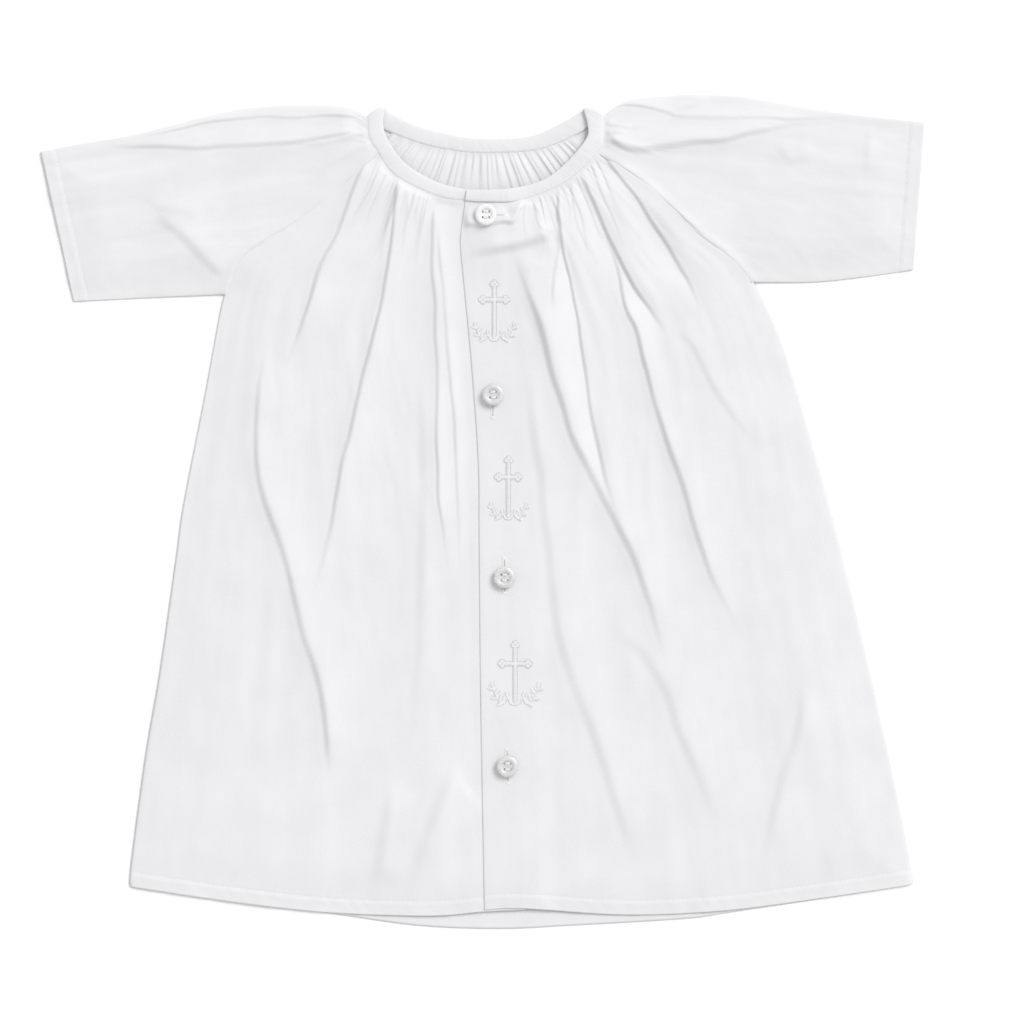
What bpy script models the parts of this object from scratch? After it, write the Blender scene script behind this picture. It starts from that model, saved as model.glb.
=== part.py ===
"""Baby christening gown in white cotton, laid flat on its back.

All measures are millimetres in the garment's own frame: X runs across from cuff to cuff,
Y from the hem up to the neck, Z up from the surface that the gown lies on.  The garment is
cut as a back, two fronts that lap at the middle, two raglan sleeves and one bias binding.
"""

import math
from bisect import bisect_right
from collections import namedtuple

import bmesh
import bpy

MM = 0.001

# Cloth and layers
WALL = 1.1                # thickness of every panel's wall
SEAM_GAP = 0.35           # room between the binding and a panel that is sewn to it
SLEEVE_NECK_GAP = 0.75    # the same for a sleeve, which turns over at the shoulder
RAGLAN_ROOM = 0.35        # half the room between a sleeve and a panel at the raglan seam
CORNER_ROOM = 0.8         # how far a piece's corner keeps from the corner of the raglan seam
LAYER_GAP = 0.3           # room between two layers that lie on each other
BACK_MID = WALL / 2       # middle of the back's wall above the surface
FRONT_MID = BACK_MID + WALL + LAYER_GAP
LAP_STEP = WALL + 0.45

# Air under the upper layer
BILLOW = 1.1              # lift of the upper layer away from the outline
BILLOW_REACH = 26.0
NECK_LIFT = 1.5           # lift of the upper layer along the neck seam
NECK_REACH = 24.0

# Lapped fronts
LAP_WIDTH = 21.0          # how far the left front reaches under the right one
LAP_CLEAR = 6.0           # how far past it the right front stays lifted
LAP_RAMP = 12.0           # run over which it then comes down again

# Neck binding
BINDING_WALL = 1.6
BINDING_BACK_MID = 1.0

# Gathers along the neck seam
FRONT_GATHER = 0.55
BACK_GATHER = 0.7

# Buttons
BUTTON_RADIUS = 5.6
BUTTON_HEIGHT = 2.3
BUTTON_DISH_RADIUS = 2.9
BUTTON_HOLE_RADIUS = 0.65
BUTTON_HOLE_SPACING = 1.5
BUTTON_SEAT = 0.3
BUTTON_CENTRES = ((1.8, 153.8), (5.5, 60.7), (11.4, -33.9), (13.0, -131.7))

# Underarm and neck corners of the raglan seams
LEFT_CORNER = (-54.6, 187.0)
RIGHT_CORNER = (60.0, 187.0)
LEFT_UNDERARM = (-133.9, 113.2)
RIGHT_UNDERARM = (140.7, 119.5)

# Outline of the sleeves, from the cuff to the neck
SLEEVE_TOP_LEFT = ((-229.6, 187.1), (-212.4, 190.5), (-178.1, 196.4), (-134.2, 207.4),
                   (-110.5, 210.5), (-89.2, 211.0), (-68.0, 209.6), (-60.3, 206.4))
SLEEVE_TOP_RIGHT = ((229.4, 202.2), (192.5, 206.3), (170.8, 209.2), (137.5, 215.1),
                    (118.3, 216.4), (100.6, 216.2), (76.7, 213.6), (63.6, 207.2))
UNDERARM_LEFT = ((-212.4, 109.6), (-172.0, 111.6), LEFT_UNDERARM)
UNDERARM_RIGHT = ((223.7, 126.0), (196.0, 122.1), (172.1, 119.7), RIGHT_UNDERARM)

# Raglan seams of the fronts and of the back, from the neck to the underarm
RAGLAN_LEFT = (LEFT_CORNER, (-94.4, 152.8), (-124.0, 134.2), LEFT_UNDERARM)
RAGLAN_RIGHT = (RIGHT_CORNER, (85.0, 170.4), (112.6, 145.5), (128.2, 133.5), RIGHT_UNDERARM)
BACK_RAGLAN_LEFT = ((-47.0, 197.4), LEFT_UNDERARM)
BACK_RAGLAN_RIGHT = ((48.2, 196.4), RIGHT_UNDERARM)

# Side seams and hems
SIDE_LEFT = (LEFT_UNDERARM, (-136.5, 102.8), (-144.3, 60.2), (-155.2, 4.6), (-159.4, -25.1),
             (-167.7, -83.3), (-175.0, -126.0), (-182.8, -184.2), (-183.0, -194.6))
SIDE_RIGHT = (RIGHT_UNDERARM, (150.5, 100.2), (159.4, 75.8), (170.8, 36.3), (183.8, -10.5),
              (197.3, -66.7), (214.0, -141.1), (222.8, -186.8), (223.0, -193.4))
HEM_LEFT = ((-183.0, -194.6), (-132.3, -202.2), (-79.3, -208.1), (-26.3, -209.7),
            (0.3, -207.6), (22.5, -206.6))
HEM_RIGHT = ((0.9, -206.6), (21.6, -205.8), (75.1, -209.2), (129.7, -206.6),
             (196.8, -197.5), (223.0, -193.4))
HEM_BACK = ((-183.0, -194.6), (-132.3, -202.2), (-79.3, -208.6), (-33.0, -214.9),
            (9.1, -216.5), (44.5, -214.9), (105.3, -211.3), (129.7, -207.9),
            (196.8, -197.9), (223.0, -193.4))

# Free edge of the overlapping right front, from the neck to the hem
PLACKET = ((-8.9, 161.3), (-11.0, 147.0), (-11.5, 138.2), (-9.8, 119.0), (-5.8, 76.3),
           (-2.3, 25.9), (-1.8, -17.3), (-1.0, -97.9), (0.9, -206.6))

# Binding in front: the line where it is sewn on, and its free edge
SEAM_FRONT = ((-59.6, 204.8), (-59.0, 195.1), LEFT_CORNER, (-45.0, 174.2), (-25.1, 164.3),
              (-9.2, 161.3), (3.9, 160.6), (20.6, 161.8), (43.5, 171.3), RIGHT_CORNER,
              (62.8, 197.1), (62.4, 205.6))
FREE_FRONT = ((-50.6, 208.4), (-51.5, 201.1), (-49.0, 193.1), (-40.0, 180.7), (-24.2, 171.3),
              (-9.2, 167.3), (3.5, 166.9), (15.7, 167.8), (30.6, 171.7), (42.5, 180.2),
              (53.5, 193.1), (54.6, 200.1), (52.6, 208.0))
# The same two lines on the back, from left to right
SEAM_BACK = ((-58.4, 203.6), (-49.0, 197.6), (-29.1, 190.6), (-9.2, 187.0), (10.7, 186.7),
             (30.6, 188.6), (49.5, 196.4), (60.6, 204.2))
FREE_BACK = ((-50.0, 208.6), (-34.1, 200.6), (-9.2, 194.6), (8.7, 193.9), (25.6, 195.4),
             (39.5, 201.1), (52.0, 208.2))

# Folds of the upper layer.  The path is the dark crease; the ridge stands on the side that
# lies to the viewer's right of a path running down, steep at the crease and soft beyond.
Fold = namedtuple("Fold", "name path rise steep soft fade_in fade_out")
FOLDS = (
    Fold("left_long", ((-44, 176), (-45, 160), (-49, 131), (-57, 91), (-66, 57), (-79, -7),
                       (-90, -54)), 3.4, 4.0, 10.0, 16, 75),
    Fold("left_outer", ((-62, 182), (-67, 168), (-74, 152), (-82, 131), (-90, 104),
                        (-102, 72)), 2.2, 4.0, 8.0, 18, 45),
    Fold("left_hook", ((-111, 87), (-117, 65), (-117, 19), (-103, -25), (-92, -67),
                       (-84, -95), (-79, -138)), 2.8, 5.0, 12.0, 45, 25),
    Fold("left_inner", ((-26, 160), (-26, 131), (-24, 78), (-24, 25), (-18, -34)),
         1.9, 3.5, 5.0, 14, 65),
    Fold("left_near_edge", ((-24, 150), (-20, 104), (-16, 60), (-13, -1), (-12, -34)),
         1.2, 3.0, 4.0, 25, 55),
    Fold("left_soft", ((-33, 78), (-32, 25), (-33, -54), (-38, -120)), 1.4, 7.0, 12.0, 40, 60),
    Fold("left_hem", ((-6, -131), (-20, -136), (-31, -166), (-41, -191)), 2.2, 6.0, 10.0, 20, 22),
    Fold("right_main", ((18, 128), (26, 104), (39, 64), (54, 23), (76, -20), (86, -46),
                        (95, -84)), 3.8, 4.5, 12.0, 35, 55),
    Fold("right_thin", ((39, 164), (43, 131), (52, 85), (59, 42), (68, 4), (74, -12)),
         2.6, 3.5, 6.0, 15, 35),
    Fold("right_short", ((36, 147), (38, 131), (37, 121), (37, 103)), 1.4, 3.0, 4.0, 12, 14),
    Fold("right_outer", ((64, 143), (75, 106), (89, 56), (104, 12), (117, -29), (136, -67)),
         3.2, 4.5, 10.0, 28, 65),
    Fold("right_shoulder", ((53, 176), (61, 154), (72, 131), (82, 113), (94, 93)),
         2.6, 4.0, 7.0, 15, 30),
    Fold("right_drag", ((94, 96), (107, 87), (124, 58), (146, 31)), 1.3, 5.0, 10.0, 20, 30),
    Fold("right_raglan", ((61, 184), (67, 180), (75, 168), (86, 150), (101, 131), (110, 117)),
         1.8, 3.5, 6.0, 16, 32),
    Fold("right_low", ((22, 85), (25, 53), (34, -21), (39, -63), (58, -120), (79, -184)),
         1.8, 7.0, 14.0, 50, 35),
    Fold("right_deep", ((61, -60), (86, -78), (104, -120), (122, -163)), 1.6, 7.0, 14.0, 30, 40),
    Fold("right_hem", ((165, -84), (163, -113), (154, -141), (143, -184)), 1.8, 6.0, 12.0, 25, 25),
    Fold("pull_upper", ((-7, 147), (5, 148), (15, 149), (22, 158)), 0.8, 4.0, 6.0, 9, 9),
    Fold("pull_lower", ((-7, 133), (7, 134), (20, 139), (33, 142)), 1.5, 5.0, 8.0, 12, 10),
    Fold("sleeve_left_underarm", ((-177, 164), (-155, 147), (-144, 135), (-133, 121)),
         2.2, 4.0, 8.0, 22, 12),
    Fold("sleeve_left_front", ((-64, 196), (-105, 192), (-145, 190), (-189, 190)),
         1.6, 3.5, 7.0, 14, 35),
    Fold("sleeve_left_top", ((-63, 202), (-92, 205), (-131, 203), (-171, 194)),
         1.2, 3.0, 5.0, 14, 35),
    Fold("sleeve_right_front", ((66, 194), (74, 187), (89, 187), (123, 193), (152, 197),
                                (190, 203)), 2.3, 4.0, 7.0, 14, 30),
    Fold("sleeve_right_top", ((70, 208), (87, 208), (118, 204), (163, 203)),
         1.2, 3.0, 5.0, 12, 30),
    Fold("sleeve_right_cuff", ((200, 202), (199, 185), (197, 172)), 0.9, 5.0, 6.0, 10, 10),
)

# Meshes: rows down the raglan seam and down the side, columns over the gathers and beside
RAGLAN_SHARE = 0.26
RAGLAN_ROWS = (0.0, 0.014, 0.04, 0.075, 0.115, 0.16, 0.21, RAGLAN_SHARE)
SIDE_ROWS = 12
BACK_SIDE_ROWS = 6
LEFT_GATHERS = 12
RIGHT_GATHERS = 10
BACK_GATHERS = 24
COLUMNS_PER_GATHER = 3
LEFT_PLAIN_COLUMNS = 7
RIGHT_PLAIN_COLUMNS = 6
BINDING_STATIONS = 30
BINDING_TURNS = 5
SLEEVE_ROWS = 11
SLEEVE_COLUMNS = 13
SLEEVE_NECK_COLUMNS = 4

Finish = namedtuple("Finish", "colour roughness metallic")
COTTON = Finish((0.86, 0.86, 0.87, 1.0), 0.85, 0.0)
PEARL = Finish((0.90, 0.89, 0.86, 1.0), 0.30, 0.0)


def smooth(share):
    """Ease from 0 to 1, level at both ends."""
    share = min(1.0, max(0.0, share))
    return share * share * (3.0 - 2.0 * share)


def blend(first, second, share):
    return first + (second - first) * share


def blend_points(first, second, share):
    return tuple(blend(a, b, share) for a, b in zip(first, second))


class Line:
    """A smooth line through a few points, read by the share of its length."""

    STEPS = 8

    def __init__(self, points):
        count = len(points)
        self.points = []
        for index in range(count - 1):
            near = points[index]
            far = points[index + 1]
            before = points[index - 1] if index else near
            after = points[index + 2] if index + 2 < count else far
            for step in range(self.STEPS):
                self.points.append(self.between(before, near, far, after, step / self.STEPS))
        self.points.append(tuple(points[-1]))
        self.lengths = [0.0]
        for near, far in zip(self.points, self.points[1:]):
            self.lengths.append(self.lengths[-1] + math.dist(near, far))
        self.length = self.lengths[-1]

    @staticmethod
    def between(before, near, far, after, share):
        values = []
        for a, b, c, d in zip(before, near, far, after):
            values.append(0.5 * (2 * b + (c - a) * share + (2 * a - 5 * b + 4 * c - d) * share ** 2
                                 + (3 * b - a - 3 * c + d) * share ** 3))
        return tuple(values)

    def at(self, share):
        target = min(1.0, max(0.0, share)) * self.length
        index = min(len(self.points) - 2, bisect_right(self.lengths, target) - 1)
        run = self.lengths[index + 1] - self.lengths[index]
        return blend_points(self.points[index], self.points[index + 1],
                            (target - self.lengths[index]) / run)

    def side(self, share):
        """Unit vector across the line, to the left of its run."""
        near = self.at(max(0.0, share - 0.01))
        far = self.at(min(1.0, share + 0.01))
        run = math.dist(near[:2], far[:2])
        return (near[1] - far[1]) / run, (far[0] - near[0]) / run

    def nearest(self, x, y):
        """Distance, distance to the left as positive, and share of the nearest place."""
        best = (1e9, 0.0, 0.0)
        for index in range(len(self.points) - 1):
            ax, ay = self.points[index][:2]
            bx, by = self.points[index + 1][:2]
            run_x = bx - ax
            run_y = by - ay
            run = run_x * run_x + run_y * run_y
            share = min(1.0, max(0.0, ((x - ax) * run_x + (y - ay) * run_y) / run))
            off_x = x - ax - share * run_x
            off_y = y - ay - share * run_y
            distance = math.hypot(off_x, off_y)
            if distance < best[0]:
                turn = run_x * off_y - run_y * off_x
                place = self.lengths[index] + share * math.sqrt(run)
                best = (distance, math.copysign(distance, turn), place / self.length)
        return best


class Span:
    """A stretch of a line, moved sideways by an offset (positive to the left of its run)."""

    def __init__(self, line, start=0.0, end=1.0, offset=0.0):
        self.line = line
        self.start = start
        self.end = end
        self.offset = offset

    def at(self, share):
        place = blend(self.start, self.end, share)
        x, y = self.line.at(place)[:2]
        side_x, side_y = self.line.side(place)
        return x + side_x * self.offset, y + side_y * self.offset


class TwoSpans:
    """Two stretches end to end, the first one up to the given share."""

    def __init__(self, first, second, share):
        self.first = first
        self.second = second
        self.share = share

    def at(self, share):
        if share <= self.share:
            return self.first.at(share / self.share)
        return self.second.at((share - self.share) / (1.0 - self.share))


seam_front = Line(SEAM_FRONT)
free_front = Line(FREE_FRONT)
seam_back = Line(SEAM_BACK)
free_back = Line(FREE_BACK)
placket = Line(PLACKET)
raglan_left = Line(RAGLAN_LEFT)
raglan_right = Line(RAGLAN_RIGHT)
back_raglan_left = Line(BACK_RAGLAN_LEFT)
back_raglan_right = Line(BACK_RAGLAN_RIGHT)
side_left = Line(SIDE_LEFT)
side_right = Line(SIDE_RIGHT)
hem_left = Line(HEM_LEFT)
hem_right = Line(HEM_RIGHT)
hem_back = Line(HEM_BACK)
sleeve_top_left = Line(SLEEVE_TOP_LEFT)
sleeve_top_right = Line(SLEEVE_TOP_RIGHT)
underarm_left = Line(UNDERARM_LEFT)
underarm_right = Line(UNDERARM_RIGHT)
lap_edge = Line(tuple((x + LAP_WIDTH, y) for x, y in PLACKET))

fold_lines = [(fold, Line(fold.path)) for fold in FOLDS]
outline_lines = (sleeve_top_left, Line((SLEEVE_TOP_LEFT[0], UNDERARM_LEFT[0])), underarm_left,
                 side_left, hem_back, side_right, underarm_right,
                 Line((UNDERARM_RIGHT[0], SLEEVE_TOP_RIGHT[0])), sleeve_top_right)


def fold_height(x, y):
    """Height that the folds add to the upper layer."""
    height = 0.0
    for fold, line in fold_lines:
        distance, left, share = line.nearest(x, y)
        if distance > 3.0 * (fold.steep + fold.soft):
            continue
        run = share * line.length
        fade = smooth(run / fold.fade_in) * smooth((line.length - run) / fold.fade_out)
        width = fold.steep if left < fold.steep else fold.soft
        ridge = math.exp(-((left - fold.steep) / width) ** 2)
        trough = 0.25 * math.exp(-((left + fold.steep) / fold.steep) ** 2)
        height += fold.rise * fade * (ridge - trough)
    return height


def upper_height(x, y, ridges=1.0):
    """Middle of the upper layer's wall at a place, before any lap."""
    edge = min(line.nearest(x, y)[0] for line in outline_lines)
    neck = seam_front.nearest(x, y)[0]
    height = FRONT_MID + BILLOW * smooth(edge / BILLOW_REACH)
    height += NECK_LIFT * math.exp(-(neck / NECK_REACH) ** 2)
    folds = fold_height(x, y)
    if folds > 0.0:
        folds *= ridges
    return max(FRONT_MID, height + folds)


def lap_height(x, y):
    """How much the right front is lifted where it lies on the left one."""
    left = lap_edge.nearest(x, y)[1]
    return LAP_STEP * smooth(1.0 - (left - LAP_CLEAR) / LAP_RAMP)


def gather_wave(place, count, rise):
    """Uneven gathers, one for each whole number that the place runs through."""
    number = int(place)
    share = place - number
    if number >= count:
        return 0.0
    strength = 0.75 + 0.25 * math.sin(2.3 * number + 0.8)
    lean = 0.12 * math.sin(1.7 * number)
    return rise * strength * math.cos(2.0 * math.pi * (share + lean))


def patch_point(top, bottom, left, right, across_top, across_bottom, down):
    """Place in a four-sided panel whose columns fan out from the top to the bottom."""
    if down <= 0.0:
        return top.at(across_top)
    if down >= 1.0:
        return bottom.at(across_bottom)
    across = blend(across_top, across_bottom, smooth(down * 1.6))
    sides = blend_points(left.at(down), right.at(down), across)
    top_bow = blend_points(top.at(0.0), top.at(1.0), across)
    bottom_bow = blend_points(bottom.at(0.0), bottom.at(1.0), across)
    top_place = top.at(across)
    bottom_place = bottom.at(across)
    return tuple(sides[axis] + (1.0 - down) * (top_place[axis] - top_bow[axis])
                 + down * (bottom_place[axis] - bottom_bow[axis]) for axis in (0, 1))


def material(name, finish):
    made = bpy.data.materials.new(name)
    made.use_nodes = True
    shader = made.node_tree.nodes["Principled BSDF"]
    shader.inputs["Base Color"].default_value = finish.colour
    shader.inputs["Roughness"].default_value = finish.roughness
    shader.inputs["Metallic"].default_value = finish.metallic
    return made


def grid_object(name, finish, columns, rows, place, wall, closed=False):
    """A grid whose points are set by place(column, row), given a wall by Solidify."""
    mesh = bpy.data.meshes.new(name)
    shape = bmesh.new()
    bmesh.ops.create_grid(shape, x_segments=columns, y_segments=rows, size=1.0)
    for vertex in shape.verts:
        column = round((vertex.co.x + 1.0) * columns / 2.0)
        row = round((vertex.co.y + 1.0) * rows / 2.0)
        vertex.co = [value * MM for value in place(column, rows - row)]
    if closed:
        bmesh.ops.remove_doubles(shape, verts=shape.verts, dist=0.00001)
    shape.to_mesh(mesh)
    shape.free()
    mesh.shade_smooth()
    mesh.materials.append(material(name + "_finish", finish))
    made = bpy.data.objects.new(name, mesh)
    parts.objects.link(made)
    solid = made.modifiers.new("wall", "SOLIDIFY")
    solid.thickness = wall * MM
    solid.offset = 0.0
    return made


def spread(count_gathered, count_plain, share_gathered, reverse=False):
    """Column places along the neck: close over the gathers, wide over the plain stretch."""
    places = [share_gathered * index / count_gathered for index in range(count_gathered)]
    for index in range(count_plain + 1):
        places.append(share_gathered + (1.0 - share_gathered) * index / count_plain)
    if reverse:
        places = [1.0 - place for place in reversed(places)]
    return places


def rows_down(side_rows):
    rows = list(RAGLAN_ROWS)
    for index in range(1, side_rows + 1):
        rows.append(RAGLAN_SHARE + (1.0 - RAGLAN_SHARE) * index / side_rows)
    return rows


def gather_fade(down, reach):
    """Gathers start a little below the seam and die away down the panel."""
    rise = 0.45 + 0.55 * smooth(down / 0.03)
    return rise * (1.0 - smooth(down / reach))


def front_left():
    """Underlap, viewer's left, with the buttons sewn to its hidden edge."""
    gathered = LEFT_GATHERS * COLUMNS_PER_GATHER
    tops = spread(gathered, LEFT_PLAIN_COLUMNS, 0.54)
    bottoms = spread(gathered, LEFT_PLAIN_COLUMNS, 0.80)
    rows = rows_down(SIDE_ROWS)
    start = seam_front.nearest(*LEFT_CORNER)[2] + CORNER_ROOM / seam_front.length
    end = seam_front.nearest(PLACKET[0][0] + LAP_WIDTH, PLACKET[0][1])[2]
    top = Span(seam_front, start, end, -SEAM_GAP)
    left = TwoSpans(Span(raglan_left, offset=RAGLAN_ROOM), Span(side_left), RAGLAN_SHARE)

    def place(column, row):
        down = rows[row]
        x, y = patch_point(top, Span(hem_left), left, Span(lap_edge), tops[column],
                           bottoms[column], down)
        wave = gather_wave(column / COLUMNS_PER_GATHER, LEFT_GATHERS, FRONT_GATHER)
        ridges = 1.0 - smooth((placket.nearest(x, y)[1] + 2.0) / 8.0)
        return x, y, upper_height(x, y, ridges) + wave * gather_fade(down, 0.34)

    return grid_object("front_left", COTTON, len(tops) - 1, len(rows) - 1, place, WALL)


def front_right():
    """Overlap, viewer's right, whose free edge shows all the way down."""
    gathered = RIGHT_GATHERS * COLUMNS_PER_GATHER
    tops = spread(gathered, RIGHT_PLAIN_COLUMNS, 0.56, reverse=True)
    bottoms = spread(gathered, RIGHT_PLAIN_COLUMNS, 0.76, reverse=True)
    rows = rows_down(SIDE_ROWS)
    start = seam_front.nearest(*PLACKET[0])[2]
    end = seam_front.nearest(*RIGHT_CORNER)[2] - CORNER_ROOM / seam_front.length
    top = Span(seam_front, start, end, -SEAM_GAP)
    right = TwoSpans(Span(raglan_right, offset=-RAGLAN_ROOM), Span(side_right), RAGLAN_SHARE)

    def place(column, row):
        down = rows[row]
        x, y = patch_point(top, Span(hem_right), Span(placket), right, tops[column],
                           bottoms[column], down)
        from_raglan = (len(tops) - 1 - column) / COLUMNS_PER_GATHER
        wave = gather_wave(from_raglan, RIGHT_GATHERS, FRONT_GATHER)
        height = upper_height(x, y) + lap_height(x, y)
        return x, y, height + wave * gather_fade(down, 0.34)

    return grid_object("front_right", COTTON, len(tops) - 1, len(rows) - 1, place, WALL)


def back_panel():
    """Back, gathered all along the neck and flat on the surface everywhere else."""
    columns = BACK_GATHERS * COLUMNS_PER_GATHER
    rows = rows_down(BACK_SIDE_ROWS)
    start = seam_back.nearest(*BACK_RAGLAN_LEFT[0])[2] + CORNER_ROOM / seam_back.length
    end = seam_back.nearest(*BACK_RAGLAN_RIGHT[0])[2] - CORNER_ROOM / seam_back.length
    top = Span(seam_back, start, end, -SEAM_GAP)
    left = TwoSpans(Span(back_raglan_left, offset=RAGLAN_ROOM), Span(side_left), RAGLAN_SHARE)
    right = TwoSpans(Span(back_raglan_right, offset=-RAGLAN_ROOM), Span(side_right), RAGLAN_SHARE)

    def place(column, row):
        down = rows[row]
        across = column / columns
        x, y = patch_point(top, Span(hem_back), left, right, across, across, down)
        wave = gather_wave(column / COLUMNS_PER_GATHER, BACK_GATHERS, BACK_GATHER)
        lift = (wave + BACK_GATHER) * 0.75 * (1.0 - smooth(down / 0.16))
        return x, y, BACK_MID + lift

    return grid_object("back_panel", COTTON, columns, len(rows) - 1, place, WALL)


def sleeve(name, top_edge, bottom_edge, upper_end, lower_end):
    """A flattened tube: lower layer on the surface, upper layer over it, open at both ends."""
    around = 2 * SLEEVE_COLUMNS
    cuff = Line((top_edge.at(0.0), bottom_edge.at(0.0)))

    def layer_place(end, inset_share, along):
        return patch_point(Span(cuff), end, top_edge, bottom_edge, inset_share, inset_share,
                           along)

    def place(column, row):
        along = row / SLEEVE_ROWS
        column = column % around
        across = (column % SLEEVE_COLUMNS) / SLEEVE_COLUMNS
        on_upper = column < SLEEVE_COLUMNS
        if not on_upper:
            across = 1.0 - across
        end = upper_end if on_upper else lower_end
        x, y = layer_place(end, across, along)
        if column % SLEEVE_COLUMNS == 0:
            x, y = layer_place(upper_end, across, along)
            return x, y, 0.5 * (BACK_MID + upper_height(x, y, ridges=0.0))
        height = upper_height(x, y) if on_upper else BACK_MID
        return x, y, height

    return grid_object(name, COTTON, around, SLEEVE_ROWS, place, WALL, closed=True)


def sleeves():
    """Both raglan sleeves, each ending 0.3 mm short of the binding and the panels."""
    left_corner = seam_front.nearest(*LEFT_CORNER)[2]
    right_corner = seam_front.nearest(*RIGHT_CORNER)[2]
    back_left = seam_back.nearest(*BACK_RAGLAN_LEFT[0])[2]
    back_right = seam_back.nearest(*BACK_RAGLAN_RIGHT[0])[2]
    neck_share = SLEEVE_NECK_COLUMNS / SLEEVE_COLUMNS
    short = CORNER_ROOM / seam_front.length
    upper_left = TwoSpans(Span(seam_front, 0.0, left_corner - short, -SLEEVE_NECK_GAP),
                          Span(raglan_left, offset=-RAGLAN_ROOM), neck_share)
    upper_right = TwoSpans(Span(seam_front, 1.0, right_corner + short, -SLEEVE_NECK_GAP),
                           Span(raglan_right, offset=RAGLAN_ROOM), neck_share)
    lower_left = TwoSpans(Span(seam_back, 0.0, back_left - short, -SLEEVE_NECK_GAP),
                          Span(back_raglan_left, offset=-RAGLAN_ROOM), neck_share)
    lower_right = TwoSpans(Span(seam_back, 1.0, back_right + short, -SLEEVE_NECK_GAP),
                           Span(back_raglan_right, offset=RAGLAN_ROOM), neck_share)
    sleeve("sleeve_left", sleeve_top_left, underarm_left, upper_left, lower_left)
    sleeve("sleeve_right", sleeve_top_right, underarm_right, upper_right, lower_right)


def neck_binding():
    """One strip round the neck: front left end, over the left shoulder, back, front right end."""
    under_end = seam_front.nearest(PLACKET[0][0] + LAP_WIDTH, PLACKET[0][1])[2]
    over_end = seam_front.nearest(*PLACKET[0])[2]
    stations = []

    def front_station(share, lap):
        seam = seam_front.at(share)
        free_share = free_front.nearest(*seam)[2]
        if share < 0.5:
            free_share = free_share * smooth(share / 0.08)
        else:
            free_share = 1.0 - (1.0 - free_share) * smooth((1.0 - share) / 0.08)
        free = free_front.at(free_share)
        height = upper_height(seam[0], seam[1], ridges=0.0)
        height += lap * (BINDING_WALL + LAYER_GAP)
        stations.append(((*seam, height), (*free, height)))

    def shoulder_turn(front_pair, back_pair):
        middle = 0.5 * (front_pair[0][2] + back_pair[0][2])
        radius = 0.5 * (front_pair[0][2] - back_pair[0][2])
        for index in range(1, BINDING_TURNS):
            angle = math.pi * index / BINDING_TURNS
            share = index / BINDING_TURNS
            pair = []
            for front, back in zip(front_pair, back_pair):
                x, y = blend_points(front[:2], back[:2], share)
                pair.append((x, y + radius * math.sin(angle), middle + radius * math.cos(angle)))
            stations.append(tuple(pair))

    def back_station(share):
        seam = seam_back.at(share)
        free = free_back.at(share)
        stations.append(((*seam, BINDING_BACK_MID), (*free, BINDING_BACK_MID)))

    for index in range(BINDING_STATIONS):
        front_station(blend(under_end, 0.0, index / (BINDING_STATIONS - 1)), 0.0)
    left_front = stations[-1]
    shoulder = len(stations)
    back_station(0.0)
    left_back = stations.pop()
    shoulder_turn(left_front, left_back)
    for index in range(BINDING_STATIONS):
        back_station(index / (BINDING_STATIONS - 1))
    right_back = stations[-1]
    front_station(1.0, 0.0)
    right_front = stations.pop()
    turn_start = len(stations)
    shoulder_turn(right_front, right_back)
    stations[turn_start:] = reversed(stations[turn_start:])
    for index in range(BINDING_STATIONS):
        share = blend(1.0, over_end, index / (BINDING_STATIONS - 1))
        x, y = seam_front.at(share)
        left = x - PLACKET[0][0] - LAP_WIDTH
        front_station(share, smooth(1.0 - (left - 1.0) / LAP_RAMP) if y < 190.0 else 0.0)

    def place(column, row):
        seam, free = stations[column]
        return blend_points(seam, free, row / 2)

    return grid_object("neck_binding", COTTON, len(stations) - 1, 2, place, BINDING_WALL)


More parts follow.
